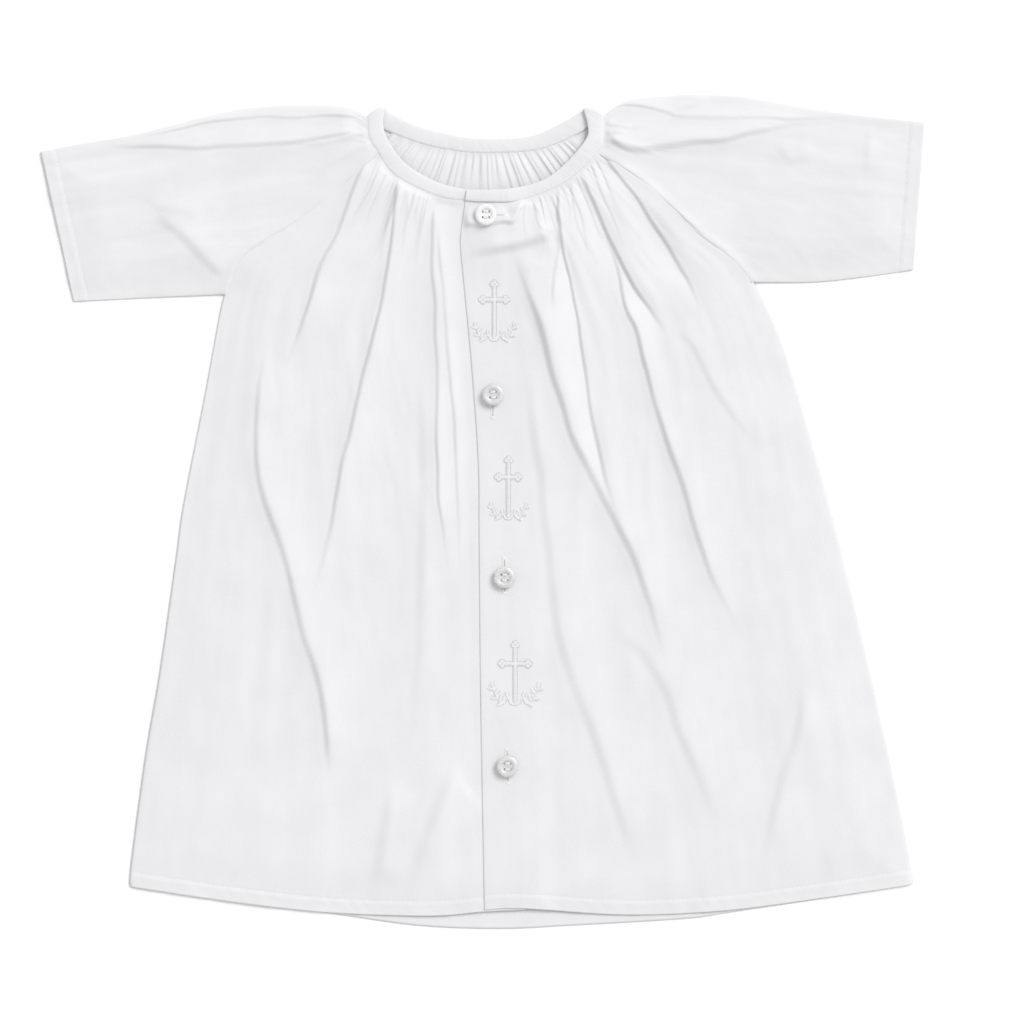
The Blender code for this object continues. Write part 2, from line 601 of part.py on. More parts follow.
def button(number, centre, cutters):
    """A turned disc with a broad round rim, a dish and four thread holes."""
    x, y = centre
    seats = []
    for index in range(12):
        angle = math.tau * index / 12
        for ring in (0.5, 1.0):
            px = x + ring * BUTTON_RADIUS * math.cos(angle)
            py = y + ring * BUTTON_RADIUS * math.sin(angle)
            seats.append(upper_height(px, py) + lap_height(px, py))
    base = max(seats) + WALL / 2 + BUTTON_SEAT
    profile = ((0.0, 1.3), (BUTTON_DISH_RADIUS - 0.9, 1.3), (BUTTON_DISH_RADIUS, 1.7),
               (3.6, BUTTON_HEIGHT), (4.6, BUTTON_HEIGHT - 0.1), (BUTTON_RADIUS, 1.2),
               (5.2, 0.4), (4.2, 0.0), (0.0, 0.0))
    name = "button_%d" % number
    mesh = bpy.data.meshes.new(name)
    shape = bmesh.new()
    verts = [shape.verts.new((px * MM, 0.0, pz * MM)) for px, pz in profile]
    for first, second in zip(verts, verts[1:]):
        shape.edges.new((first, second))
    shape.to_mesh(mesh)
    shape.free()
    mesh.materials.append(material(name + "_finish", PEARL))
    made = bpy.data.objects.new(name, mesh)
    made.location = (x * MM, y * MM, base * MM)
    parts.objects.link(made)
    turn = made.modifiers.new("turn", "SCREW")
    turn.steps = 16
    turn.render_steps = 16
    turn.use_merge_vertices = True
    turn.merge_threshold = 0.00001
    drill_mesh = bpy.data.meshes.new(name + "_holes")
    drill = bmesh.new()
    for side_x in (-1, 1):
        for side_y in (-1, 1):
            made_cone = bmesh.ops.create_cone(drill, cap_ends=True, segments=6,
                                              radius1=BUTTON_HOLE_RADIUS * MM,
                                              radius2=BUTTON_HOLE_RADIUS * MM,
                                              depth=2.0 * BUTTON_HEIGHT * MM)
            shift = (side_x * BUTTON_HOLE_SPACING * MM, side_y * BUTTON_HOLE_SPACING * MM,
                     0.5 * BUTTON_HEIGHT * MM)
            bmesh.ops.translate(drill, verts=made_cone["verts"], vec=shift)
    drill.to_mesh(drill_mesh)
    drill.free()
    holes = bpy.data.objects.new(name + "_holes", drill_mesh)
    holes.location = made.location
    holes.hide_render = True
    holes.display_type = "WIRE"
    cutters.objects.link(holes)
    cut = made.modifiers.new("thread_holes", "BOOLEAN")
    cut.operation = "DIFFERENCE"
    cut.solver = "EXACT"
    cut.object = holes


for old in list(bpy.data.objects):
    bpy.data.objects.remove(old, do_unlink=True)

parts = bpy.data.collections.new("baby_gown")
bpy.context.scene.collection.children.link(parts)
cutter_group = bpy.data.collections.new("cutters")
bpy.context.scene.collection.children.link(cutter_group)

back_panel()
sleeves()
front_left()
front_right()
neck_binding()
for button_number, button_centre in enumerate(BUTTON_CENTRES, start=1):
    button(button_number, button_centre, cutter_group)
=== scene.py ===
import math
from collections import namedtuple

import bmesh
import bpy
import numpy as np
from mathutils import Matrix, Vector
from mathutils.bvhtree import BVHTree


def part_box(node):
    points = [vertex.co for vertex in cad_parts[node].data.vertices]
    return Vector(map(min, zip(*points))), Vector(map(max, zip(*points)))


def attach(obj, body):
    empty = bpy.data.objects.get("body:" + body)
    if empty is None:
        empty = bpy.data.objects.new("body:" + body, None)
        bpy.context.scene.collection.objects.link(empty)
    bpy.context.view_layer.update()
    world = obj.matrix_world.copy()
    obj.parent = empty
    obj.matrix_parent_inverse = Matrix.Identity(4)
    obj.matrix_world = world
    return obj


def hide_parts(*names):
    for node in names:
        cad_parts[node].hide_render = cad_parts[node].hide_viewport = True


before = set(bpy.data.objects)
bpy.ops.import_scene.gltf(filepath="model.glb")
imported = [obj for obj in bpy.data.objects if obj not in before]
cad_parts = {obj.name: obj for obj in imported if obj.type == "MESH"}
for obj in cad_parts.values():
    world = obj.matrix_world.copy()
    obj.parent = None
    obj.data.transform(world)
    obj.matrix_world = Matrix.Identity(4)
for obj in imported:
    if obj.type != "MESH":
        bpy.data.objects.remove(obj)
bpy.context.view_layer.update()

mm = 0.001


def smooth(share):
    share = np.clip(share, 0.0, 1.0)
    return share * share * (3.0 - 2.0 * share)


def blend(first, second, share):
    return first + (second - first) * share


def softNoise(u, v, seed):
    # Smooth random heights from -1 to 1 on a lattice of whole numbers
    grid = np.random.default_rng(seed).uniform(-1.0, 1.0, (64, 64))
    column = np.floor(u).astype(int)
    row = np.floor(v).astype(int)
    across = smooth(u - column)
    down = smooth(v - row)
    near = blend(grid[row % 64, column % 64], grid[row % 64, (column + 1) % 64], across)
    far = blend(grid[(row + 1) % 64, column % 64], grid[(row + 1) % 64, (column + 1) % 64], across)
    return blend(near, far, down)


class Curve:
    # A smooth line through a few points, read by the share of its length
    steps = 8

    def __init__(self, points):
        given = np.array(points, dtype=float)
        padded = np.vstack([given[:1], given, given[-1:]])
        share = (np.arange(self.steps) / self.steps)[:, None]
        runs = []
        for a, b, c, d in zip(padded, padded[1:], padded[2:], padded[3:]):
            runs.append(0.5 * (2 * b + (c - a) * share + (2 * a - 5 * b + 4 * c - d) * share ** 2
                               + (3 * b - a - 3 * c + d) * share ** 3))
        self.points = np.vstack(runs + [given[-1:]])
        gaps = np.diff(self.points, axis=0)
        self.lengths = np.concatenate([[0.0], np.cumsum(np.hypot(gaps[:, 0], gaps[:, 1]))])
        self.length = self.lengths[-1]

    def at(self, share):
        place = np.clip(share, 0.0, 1.0) * self.length
        return (np.interp(place, self.lengths, self.points[:, 0]),
                np.interp(place, self.lengths, self.points[:, 1]))

    def side(self, share):
        # Unit vector to the left of the line's run
        nearX, nearY = self.at(share - 0.01)
        farX, farY = self.at(share + 0.01)
        run = np.hypot(farX - nearX, farY - nearY)
        return (nearY - farY) / run, (farX - nearX) / run

    def near(self, x, y):
        # Distance, distance to the left as positive, and share of the nearest place
        x = np.asarray(x, dtype=float)
        y = np.asarray(y, dtype=float)
        best = np.full(x.shape, 1e9)
        left = np.zeros(x.shape)
        place = np.zeros(x.shape)
        for index in range(len(self.points) - 1):
            startX, startY = self.points[index]
            runX, runY = self.points[index + 1] - self.points[index]
            size = runX * runX + runY * runY
            share = np.clip(((x - startX) * runX + (y - startY) * runY) / size, 0.0, 1.0)
            offX = x - startX - share * runX
            offY = y - startY - share * runY
            distance = np.hypot(offX, offY)
            closer = distance < best
            left = np.where(closer, np.copysign(distance, runX * offY - runY * offX), left)
            place = np.where(closer, self.lengths[index] + share * math.sqrt(size), place)
            best = np.where(closer, distance, best)
        return best, left, place / self.length

    def shareAt(self, point):
        return float(self.near(*point)[2])


class Span:
    # A stretch of a curve, set sideways by an offset, positive to the left of its run
    def __init__(self, line, start=0.0, end=1.0, offset=0.0):
        self.line = line
        self.start = start
        self.end = end
        self.offset = offset

    def at(self, share):
        place = blend(self.start, self.end, share)
        x, y = self.line.at(place)
        sideX, sideY = self.line.side(place)
        return x + sideX * self.offset, y + sideY * self.offset


class TwoSpans:
    # Two stretches end to end, the first one up to the given share
    def __init__(self, first, second, share):
        self.first = first
        self.second = second
        self.share = share

    def at(self, share):
        share = np.asarray(share, dtype=float)
        one = self.first.at(np.clip(share / self.share, 0.0, 1.0))
        two = self.second.at(np.clip((share - self.share) / (1.0 - self.share), 0.0, 1.0))
        early = share <= self.share
        return np.where(early, one[0], two[0]), np.where(early, one[1], two[1])


# Seams and outline of the gown, in mm of its own frame, as the solids have them
Half = namedtuple("Half", "name turn corner backCorner top cuff under raglan backRaglan side hem")
leftUnderarm = (-133.9, 113.2)
left = Half(
    name="left",
    turn=1.0,                  # side of the raglan seams on which the sleeve lies
    corner=(-54.6, 187.0),     # where the raglan seam meets the neck, in front and behind
    backCorner=(-47.0, 197.4),
    top=Curve(((-229.6, 187.1), (-212.4, 190.5), (-178.1, 196.4), (-134.2, 207.4),
               (-110.5, 210.5), (-89.2, 211.0), (-68.0, 209.6), (-60.3, 206.4))),
    cuff=Curve(((-229.6, 187.1), (-212.4, 109.6))),
    under=Curve(((-212.4, 109.6), (-172.0, 111.6), leftUnderarm)),
    raglan=Curve(((-54.6, 187.0), (-94.4, 152.8), (-124.0, 134.2), leftUnderarm)),
    backRaglan=Curve(((-47.0, 197.4), leftUnderarm)),
    side=Curve((leftUnderarm, (-136.5, 102.8), (-144.3, 60.2), (-155.2, 4.6), (-159.4, -25.1),
                (-167.7, -83.3), (-175.0, -126.0), (-182.8, -184.2), (-183.0, -194.6))),
    hem=Curve(((-183.0, -194.6), (-132.3, -202.2), (-79.3, -208.1), (-26.3, -209.7),
               (0.3, -207.6), (22.5, -206.6))))
rightUnderarm = (140.7, 119.5)
right = Half(
    name="right",
    turn=-1.0,
    corner=(60.0, 187.0),
    backCorner=(48.2, 196.4),
    top=Curve(((229.4, 202.2), (192.5, 206.3), (170.8, 209.2), (137.5, 215.1),
               (118.3, 216.4), (100.6, 216.2), (76.7, 213.6), (63.6, 207.2))),
    cuff=Curve(((229.4, 202.2), (223.7, 126.0))),
    under=Curve(((223.7, 126.0), (196.0, 122.1), (172.1, 119.7), rightUnderarm)),
    raglan=Curve(((60.0, 187.0), (85.0, 170.4), (112.6, 145.5), (128.2, 133.5), rightUnderarm)),
    backRaglan=Curve(((48.2, 196.4), rightUnderarm)),
    side=Curve((rightUnderarm, (150.5, 100.2), (159.4, 75.8), (170.8, 36.3), (183.8, -10.5),
                (197.3, -66.7), (214.0, -141.1), (222.8, -186.8), (223.0, -193.4))),
    hem=Curve(((0.9, -206.6), (21.6, -205.8), (75.1, -209.2), (129.7, -206.6),
               (196.8, -197.5), (223.0, -193.4))))
hemBack = Curve(((-183.0, -194.6), (-132.3, -202.2), (-79.3, -208.6), (-33.0, -214.9),
                 (9.1, -216.5), (44.5, -214.9), (105.3, -211.3), (129.7, -207.9),
                 (196.8, -197.9), (223.0, -193.4)))
outline = (left.top, left.cuff, left.under, left.side, hemBack,
           right.side, right.under, right.cuff, right.top)
seamFront = Curve(((-59.6, 204.8), (-59.0, 195.1), left.corner, (-45.0, 174.2), (-25.1, 164.3),
                   (-9.2, 161.3), (3.9, 160.6), (20.6, 161.8), (43.5, 171.3), right.corner,
                   (62.8, 197.1), (62.4, 205.6)))
freeFront = Curve(((-50.6, 208.4), (-51.5, 201.1), (-49.0, 193.1), (-40.0, 180.7), (-24.2, 171.3),
                   (-9.2, 167.3), (3.5, 166.9), (15.7, 167.8), (30.6, 171.7), (42.5, 180.2),
                   (53.5, 193.1), (54.6, 200.1), (52.6, 208.0)))
seamBack = Curve(((-58.4, 203.6), (-49.0, 197.6), (-29.1, 190.6), (-9.2, 187.0), (10.7, 186.7),
                  (30.6, 188.6), (49.5, 196.4), (60.6, 204.2)))
freeBack = Curve(((-50.0, 208.6), (-34.1, 200.6), (-9.2, 194.6), (8.7, 193.9), (25.6, 195.4),
                  (39.5, 201.1), (52.0, 208.2)))
placketEdge = ((-8.9, 161.3), (-11.0, 147.0), (-11.5, 138.2), (-9.8, 119.0), (-5.8, 76.3),
               (-2.3, 25.9), (-1.8, -17.3), (-1.0, -97.9), (0.9, -206.6))
buttonCentres = ((1.8, 153.8), (5.5, 60.7), (11.4, -33.9), (13.0, -131.7))

cloth = {                      # heights and reaches in mm
    "thickness": 0.32,
    "backMid": 0.32,           # middle of the back above the surface
    "edgeMid": 1.25,           # middle of the upper layer along the outline
    "billow": 1.8,             # lift of the upper layer away from the outline
    "billowReach": 26.0,
    "neckLift": 1.5,
    "neckReach": 24.0,
    "sideMid": 0.85,           # where the front turns down to the back at the side seam
    "sideRoll": 4.5,
    "lapStep": 0.50,           # height of the overlapping front over the other one
    "lapWidth": 21.0,
    "lapClear": 6.0,
    "lapRamp": 12.0,
    "seamDip": 0.12,           # groove along the raglan seams
    "seamReach": 0.8,
    "seamStep": 0.42,          # height of the sleeve's edge over the front there
    "seamStepReach": 2.6,
    "seamSlope": 0.8,          # broad rise of the cloth toward the seam at the viewer's right
    "seamSlopeReach": 9.0,
    "edgeDip": 0.19,           # how far the overlapping edge bends down
    "edgeDipReach": 1.6,
    "bindingLift": 0.45,       # the binding over the middle of the gathered cloth
    "heldShare": 0.85,         # how closely the cloth keeps to the binding inside it
    "neckDrop": 0.5,           # fall of the gathered cloth toward the binding
    "neckDropReach": 8.0,
}
placket = Curve(placketEdge)
lapEdge = Curve([(x + cloth["lapWidth"], y) for x, y in placketEdge])
overCorner = placketEdge[0]    # where the two fronts end at the neck
underCorner = (overCorner[0] + cloth["lapWidth"], overCorner[1])

# The path is the dark crease. For side 1 a ridge stands on the viewer's right of a path running
# down, and for side -1 a hollow lies on the viewer's left of it
Fold = namedtuple("Fold", "name path rise steep soft fadeIn fadeOut side", defaults=(1,))
folds = (
    Fold("leftLong", ((-44, 176), (-45, 160), (-49, 131), (-57, 91), (-66, 57), (-79, -7),
                      (-90, -54)), 3.2, 1.7, 10.0, 12, 75),
    Fold("leftOuter", ((-58, 187), (-66, 170), (-74.5, 147), (-83, 130), (-92, 104),
                       (-103, 72)), 3.0, 2.0, 9.0, 14, 45),
    Fold("leftHook", ((-111, 87), (-117, 65), (-117, 19), (-103, -25), (-92, -67),
                      (-84, -95), (-79, -138)), 2.9, 2.5, 12.0, 45, 25),
    Fold("leftInner", ((-26, 160), (-26, 131), (-24, 78), (-24, 25), (-18, -34)),
         2.0, 1.4, 5.0, 10, 65),
    Fold("leftNearEdge", ((-24, 150), (-20, 104), (-16, 60), (-13, -1), (-12, -34)),
         1.4, 1.4, 4.0, 18, 55),
    Fold("leftSoft", ((-33, 78), (-32, 25), (-33, -54), (-38, -120)), 1.4, 5.0, 12.0, 40, 60),
    Fold("leftHem", ((-6, -131), (-18, -138), (-29, -166), (-40, -191)), 2.5, 6.5, 11.0, 20, 22),
    Fold("leftHemInner", ((-47, -138), (-51, -160), (-55, -182), (-56, -195)), 1.4, 6.0, 12.0, 18, 14),
    Fold("rightMain", ((20, 136), (18, 129), (22, 117), (29, 99), (33, 83), (37, 68), (43, 48),
                       (54, 23), (76, -20), (86, -46), (95, -84)), 3.1, 2.5, 11.0, 45, 55),
    Fold("rightThin", ((39, 170), (40.4, 152), (42.7, 134), (46.4, 114), (50, 97), (53.4, 76),
                       (56, 58), (59, 42), (68, 4), (74, -12)), 2.6, 1.3, 7.0, 10, 45, -1),
    Fold("rightShort", ((38.5, 152), (39.5, 138), (37, 123), (36.2, 112), (37, 102)),
         1.5, 1.5, 4.0, 10, 14),
    Fold("petal", ((26.4, 161), (28.3, 151.4), (30.6, 146.7), (37.3, 144.2)), 1.2, 1.0, 4.0, 3, 3),
    Fold("rightOuter", ((65, 142), (68, 131), (71.5, 118), (75, 104), (79, 94), (82.6, 80),
                        (86.4, 67), (90, 53), (95, 37), (104, 12), (117, -29), (136, -67)),
         3.0, 1.8, 9.0, 28, 65),
    Fold("rightShoulder", ((52.5, 176), (55, 168), (59.4, 158), (64, 147.6), (68.7, 137.4),
                           (73.4, 127), (80, 116), (86.4, 107), (93, 97.5), (98.4, 90)),
         2.9, 1.6, 9.0, 10, 35, -1),
    Fold("rightDrag", ((94, 96), (107, 87), (124, 58), (146, 31)), 1.3, 3.2, 10.0, 20, 30),
    Fold("rightRaglan", ((62, 186), (68.7, 177), (73.4, 171), (80, 162.5), (85.4, 154),
                         (92, 145), (97.5, 136.5), (103, 127), (107.7, 120), (111.4, 111), (114, 99)),
         2.4, 1.7, 9.0, 8, 40, -1),
    Fold("rightYoke", ((60, 172), (66, 163), (73, 150), (80, 138)), 0.9, 4.0, 8.0, 12, 20),
    Fold("rightLow", ((22, 85), (25, 53), (34, -21), (39, -63), (58, -120), (79, -184)),
         1.8, 5.0, 14.0, 50, 35),
    Fold("rightDeep", ((61, -60), (86, -78), (104, -120), (122, -163)), 1.6, 5.0, 14.0, 30, 40),
    Fold("rightHem", ((165, -84), (163, -113), (154, -141), (143, -184)), 1.8, 4.5, 12.0, 25, 25),
    Fold("pullUpper", ((-10.4, 147.6), (3.5, 148.6), (10.5, 150.0), (15.5, 149.6), (18.0, 152.5),
                       (19.6, 156.5), (22.5, 163)), 3.1, 1.8, 6.0, 4, 3),
    Fold("pullLower", ((-10, 131), (5.5, 134.2), (21.4, 137.4), (36.5, 143)), 3.4, 4.6, 8.0, 20, 5),
    Fold("rightBroad", ((18, 138), (20, 120), (31, 88), (43, 52), (58, 12)), 1.7, 7.0, 14.0, 14, 60),
    Fold("sleeveLeftUnderarm", ((-172, 153), (-157, 143.5), (-144.5, 130), (-134, 121)),
         1.9, 4.0, 9.0, 12, 7),
    Fold("sleeveLeftBranch", ((-178, 163), (-166.5, 157), (-155.5, 155), (-144, 150.5)),
         0.8, 2.6, 8.0, 8, 12),
    Fold("sleeveLeftFront", ((-200, 190), (-165, 189), (-132, 189), (-98, 192), (-63, 197)),
         2.1, 1.7, 9.0, 35, 9),
    Fold("sleeveLeftTop", ((-181, 193), (-158, 198), (-134, 203.5), (-98, 205), (-62, 204.6)),
         1.3, 1.2, 5.0, 25, 9),
    Fold("sleeveRightFront", ((64, 198), (67, 193.5), (73, 188.5), (82, 187), (98, 189), (110, 191),
                              (125, 192.5), (140, 196.5), (176, 202.5)), 2.9, 2.2, 7.0, 7, 40),
    Fold("sleeveRightTop", ((61, 205), (68.6, 210), (80.5, 210.4), (95, 207), (105.6, 204.4),
                            (158, 203.8), (193, 205)), 1.4, 1.2, 4.5, 7, 50),
    Fold("sleeveRightSpur", ((98, 207), (108, 209.7), (119, 214.5)), 0.8, 1.6, 4.0, 6, 6),
    Fold("sleeveRightVee", ((152, 192), (157, 184), (161.5, 181.5), (176, 186)),
         0.8, 3.6, 7.0, 7, 8),
    Fold("sleeveRightCuff", ((200.5, 202), (199, 188), (197.5, 174)), 0.8, 2.2, 5.0, 12, 12),
)
gatherLook = {                 # short sharp gathers below the binding, in mm
    "leftCount": 16, "rightCount": 14, "sleeveCount": 3,
    "shortest": 14.0, "longest": 52.0,
    "lowest": 0.45, "highest": 1.25,
    "sharpest": 0.65, "bluntest": 1.35,
    "narrowest": 1.5, "widest": 3.4,
    "frontDrop": 0.52,         # share by which a gather hangs straight down
    "sleeveDrop": 0.08,
    "plain": ((-27.0, 165.0), (21.0, 162.0)),  # ends of the stretch beside the buttons
    "margin": 0.008,           # share of the neck left plain beside a raglan seam
    "hollowsFrom": 38.0, "hollowsTo": 60.0,
}


def gatherFolds():
    look = gatherLook
    draw = np.random.default_rng(7)
    corners = [seamFront.shareAt(corner) for corner in (left.corner, right.corner)]
    plain = [seamFront.shareAt(place) for place in look["plain"]]
    margin = look["margin"]
    stretches = ((corners[0] + margin, plain[0], look["leftCount"], look["frontDrop"]),
                 (plain[1], corners[1] - margin, look["rightCount"], look["frontDrop"]),
                 (margin, corners[0] - margin, look["sleeveCount"], look["sleeveDrop"]),
                 (corners[1] + margin, 1.0 - margin, look["sleeveCount"], look["sleeveDrop"]))
    made = []
    for start, end, count, drop in stretches:
        for number in range(count):
            share = blend(start, end, (number + 0.5 + draw.uniform(-0.3, 0.3)) / count)
            x, y = seamFront.at(share)
            sideX, sideY = seamFront.side(share)
            runX = -sideX * (1.0 - drop)
            runY = -sideY * (1.0 - drop) - drop
            size = math.hypot(runX, runY)
            runX, runY = runX / size, runY / size
            length = draw.uniform(look["shortest"], look["longest"])
            bend = draw.uniform(-0.10, 0.10) * length
            path = ((x - 0.5 * runX, y - 0.5 * runY),
                    (x + 0.5 * length * runX - bend * runY, y + 0.5 * length * runY + bend * runX),
                    (x + length * runX, y + length * runY))
            made.append(Fold("gather", path, draw.uniform(look["lowest"], look["highest"]),
                             draw.uniform(look["sharpest"], look["bluntest"]),
                             draw.uniform(look["narrowest"], look["widest"]), 4.0, 0.65 * length,
                             -1 if look["hollowsFrom"] < x < look["hollowsTo"] else 1))
    return made


foldLines = [(fold, Curve(fold.path)) for fold in folds + tuple(gatherFolds())]
foldLook = {
    "rise": 1.05,              # share of the table's rises
    "steep": 0.72,             # share of the table's widths on the dark side
    "sharp": 0.62,             # share of the dark side that falls at once
    "wander": 0.7, "wanderPeriod": 17.0,
    "waver": 0.18, "waverPeriod": 22.0,
    "nip": 0.10,
    "hollowRise": 0.45,        # broad rise that a hollow lies in
}


def foldHeight(x, y):
    look = foldLook
    height = np.zeros(x.shape)
    for number, (fold, line) in enumerate(foldLines):
        reach = 3.0 * fold.soft + 4.0
        lowX, lowY = line.points.min(axis=0) - reach
        highX, highY = line.points.max(axis=0) + reach
        close = (x > lowX) & (x < highX) & (y > lowY) & (y < highY)
        if not close.any():
            continue
        distance, off, share = line.near(x[close], y[close])
        run = share * line.length
        same = run * 0.0 + number
        off = off * fold.side + look["wander"] * softNoise(run / look["wanderPeriod"], same, 5)
        fade = smooth(run / fold.fadeIn) * smooth((line.length - run) / fold.fadeOut)
        fade = fade * (0.9 + look["waver"] * softNoise(run / look["waverPeriod"], same, 6))
        steep = look["steep"] * fold.steep
        nip = look["nip"] * np.exp(-((off + 0.4 * steep) / (0.6 * steep)) ** 2)
        off = off - steep
        darkSide = look["sharp"] * np.exp(-(off / steep) ** 2)
        darkSide = darkSide + (1.0 - look["sharp"]) * np.exp(-(off / (3.0 * steep + 1.0)) ** 2)
        brightSide = np.exp(-(np.abs(off) / fold.soft) ** 1.5)
        shape = np.where(off < 0.0, darkSide, brightSide) - nip
        if fold.side < 0:
            shape = look["hollowRise"] * np.exp(-(off / (2.2 * fold.soft)) ** 2) - shape
        height[close] += look["rise"] * fold.rise * fade * shape
    return height


def upperHeight(x, y, ridges=1.0):
    edge = np.minimum.reduce([line.near(x, y)[0] for line in outline])
    neck = seamFront.near(x, y)[0]
    height = cloth["edgeMid"] + cloth["billow"] * smooth(edge / cloth["billowReach"])
    height = height + cloth["neckLift"] * np.exp(-(neck / cloth["neckReach"]) ** 2)
    lift = foldHeight(x, y)
    height = height + np.where(lift > 0.0, lift * ridges, lift)
    return np.maximum(cloth["edgeMid"], height)


def rollDown(height, distance, low, reach):
    # The cloth turns down to the layer below within a short reach of its fold or seam
    share = np.clip(distance / reach, 0.0, 1.0)
    return low + (height - low) * np.sqrt(1.0 - (1.0 - share) ** 2)


def gatherWave(place, gathers, down):
    # Each gather is a bump of its own place, width, rise and length
    wave = np.zeros(place.shape)
    peak = -0.4                # a gather is steeper on its dark side
    for centre, width, rise, reach in gathers:
        share = np.clip((place - centre) / width, -1.0, 1.0)
        share = (share - peak) / np.where(share < peak, 1.0 + peak, 1.0 - peak)
        fade = (0.5 + 0.5 * smooth(down / 0.03)) * (1.0 - smooth(down / reach))
        wave += rise * np.cos(0.5 * math.pi * share) ** 2 * fade
    return wave


def makeGathers(count, start, end, rise, reach, seed):
    draw = np.random.default_rng(seed)
    gathers = []
    step = (end - start) / count
    for number in range(count):
        centre = start + step * (number + 0.5 + draw.uniform(-0.42, 0.42))
        width = step * draw.uniform(0.34, 0.74)
        gathers.append((centre, width, rise * draw.uniform(0.6, 1.25), reach * draw.uniform(0.45, 1.2)))
    return gathers


def patchPoint(top, bottom, left, right, acrossTop, acrossBottom, down):
    # Place in a four-sided panel whose columns fan out from the top to the bottom
    across = blend(acrossTop, acrossBottom, smooth(down * 1.6))
    leftPlace = left.at(down)
    rightPlace = right.at(down)
    topStart, topEnd, topPlace = top.at(0.0), top.at(1.0), top.at(across)
    bottomStart, bottomEnd, bottomPlace = bottom.at(0.0), bottom.at(1.0), bottom.at(across)
    leftTop, leftBottom = left.at(0.0), left.at(1.0)
    rightTop, rightBottom = right.at(0.0), right.at(1.0)
    places = []
    for axis in (0, 1):
        startFix = (1.0 - smooth(down / 0.08))
        endFix = smooth((down - 0.92) / 0.08)
        one = (leftPlace[axis] + startFix * (topStart[axis] - leftTop[axis])
               + endFix * (bottomStart[axis] - leftBottom[axis]))
        two = (rightPlace[axis] + startFix * (topEnd[axis] - rightTop[axis])
               + endFix * (bottomEnd[axis] - rightBottom[axis]))
        sides = blend(one, two, across)
        topBow = topPlace[axis] - blend(topStart[axis], topEnd[axis], across)
        bottomBow = bottomPlace[axis] - blend(bottomStart[axis], bottomEnd[axis], across)
        places.append(sides + (1.0 - down) * topBow + down * bottomBow)
    return places


def fillSockets(tree, node, sockets):
    # A socket takes a fixed value or the output of another node
    for name, value in sockets.items():
        if isinstance(value, bpy.types.NodeSocket):
            tree.links.new(value, node.inputs[name])
        else:
            node.inputs[name].default_value = value


def addNode(tree, kind, sockets, **values):
    node = tree.nodes.new(kind)
    for key, value in values.items():
        setattr(node, key, value)
    fillSockets(tree, node, sockets)
    return node


def nodeMaterial(name):
    made = bpy.data.materials.new(name)
    made.use_nodes = True
    place = addNode(made.node_tree, "ShaderNodeTexCoord", {})
    return made, made.node_tree, place.outputs["Object"]


def patches(tree, place, scale, detail, stops, distortion=0.0):
    # Soft patches of two tones, each with its place on the ramp
    noise = addNode(tree, "ShaderNodeTexNoise", {"Vector": place, "Scale": scale, "Detail": detail,
                                                 "Distortion": distortion})
    ramp = addNode(tree, "ShaderNodeValToRGB", {"Fac": noise.outputs["Fac"]})
    for element, (position, colour) in zip(ramp.color_ramp.elements, stops):
        element.position = position
        element.color = colour
    return noise.outputs["Fac"], ramp.outputs["Color"]


cottonLook = {
    "colour": (0.777, 0.775, 0.790, 1.0),
    "shade": (0.750, 0.749, 0.766, 1.0),
    "cloudScale": 45.0,
    "roughness": 0.85,
    "sheen": 0.18,
    "weavePeriod": 0.00034,    # two threads of the lawn, in metres
    "weaveDepth": 0.00005,
    "slubScale": 700.0,
    "slubDepth": 0.00012,
}


def cottonMaterial(name, turn=0.0):
    look = cottonLook
    made, tree, place = nodeMaterial(name)
    mapping = addNode(tree, "ShaderNodeMapping", {"Vector": place, "Rotation": (0.0, 0.0, turn)})
    place = mapping.outputs["Vector"]
    waves = {}
    for index, direction in enumerate(("X", "Y")):
        wave = addNode(tree, "ShaderNodeTexWave", {
            "Vector": place, "Scale": 0.314 / look["weavePeriod"], "Distortion": 0.6, "Detail": 0.0},
            wave_type="BANDS", bands_direction=direction)
        waves[index] = wave.outputs["Fac"]
    weave = addNode(tree, "ShaderNodeMath", waves, operation="MAXIMUM")
    slub = addNode(tree, "ShaderNodeTexNoise", {
        "Vector": place, "Scale": look["slubScale"], "Detail": 3.0})
    slubBump = addNode(tree, "ShaderNodeBump", {
        "Height": slub.outputs["Fac"], "Distance": look["slubDepth"], "Strength": 0.6})
    weaveBump = addNode(tree, "ShaderNodeBump", {
        "Height": weave.outputs["Value"], "Distance": look["weaveDepth"], "Strength": 0.5,
        "Normal": slubBump.outputs["Normal"]})
    stops = ((0.3, look["shade"]), (0.62, look["colour"]))
    fillSockets(tree, tree.nodes["Principled BSDF"], {
        "Base Color": patches(tree, place, look["cloudScale"], 4.0, stops)[1],
        "Normal": weaveBump.outputs["Normal"], "Roughness": look["roughness"],
        "Sheen Weight": look["sheen"], "Specular IOR Level": 0.2})
    return made


def gridShape(columns, rows, place):
    # A grid whose points, in mm, are set by place(column, row)
    shape = bmesh.new()
    bmesh.ops.create_grid(shape, x_segments=columns, y_segments=rows, size=1.0)
    flat = np.array([vertex.co[:] for vertex in shape.verts])
    column = np.rint((flat[:, 0] + 1.0) * columns / 2.0).astype(int)
    row = np.rint((flat[:, 1] + 1.0) * rows / 2.0).astype(int)
    for vertex, point in zip(shape.verts, np.column_stack(place(column, row)) * mm):
        vertex.co = point
    shape.normal_update()
    return shape


def newPiece(name, shape, material=None):
    mesh = bpy.data.meshes.new(name)
    shape.to_mesh(mesh)
    shape.free()
    mesh.shade_smooth()
    if material:
        mesh.materials.append(material)
    made = bpy.data.objects.new(name, mesh)
    bpy.context.scene.collection.objects.link(made)
    return made


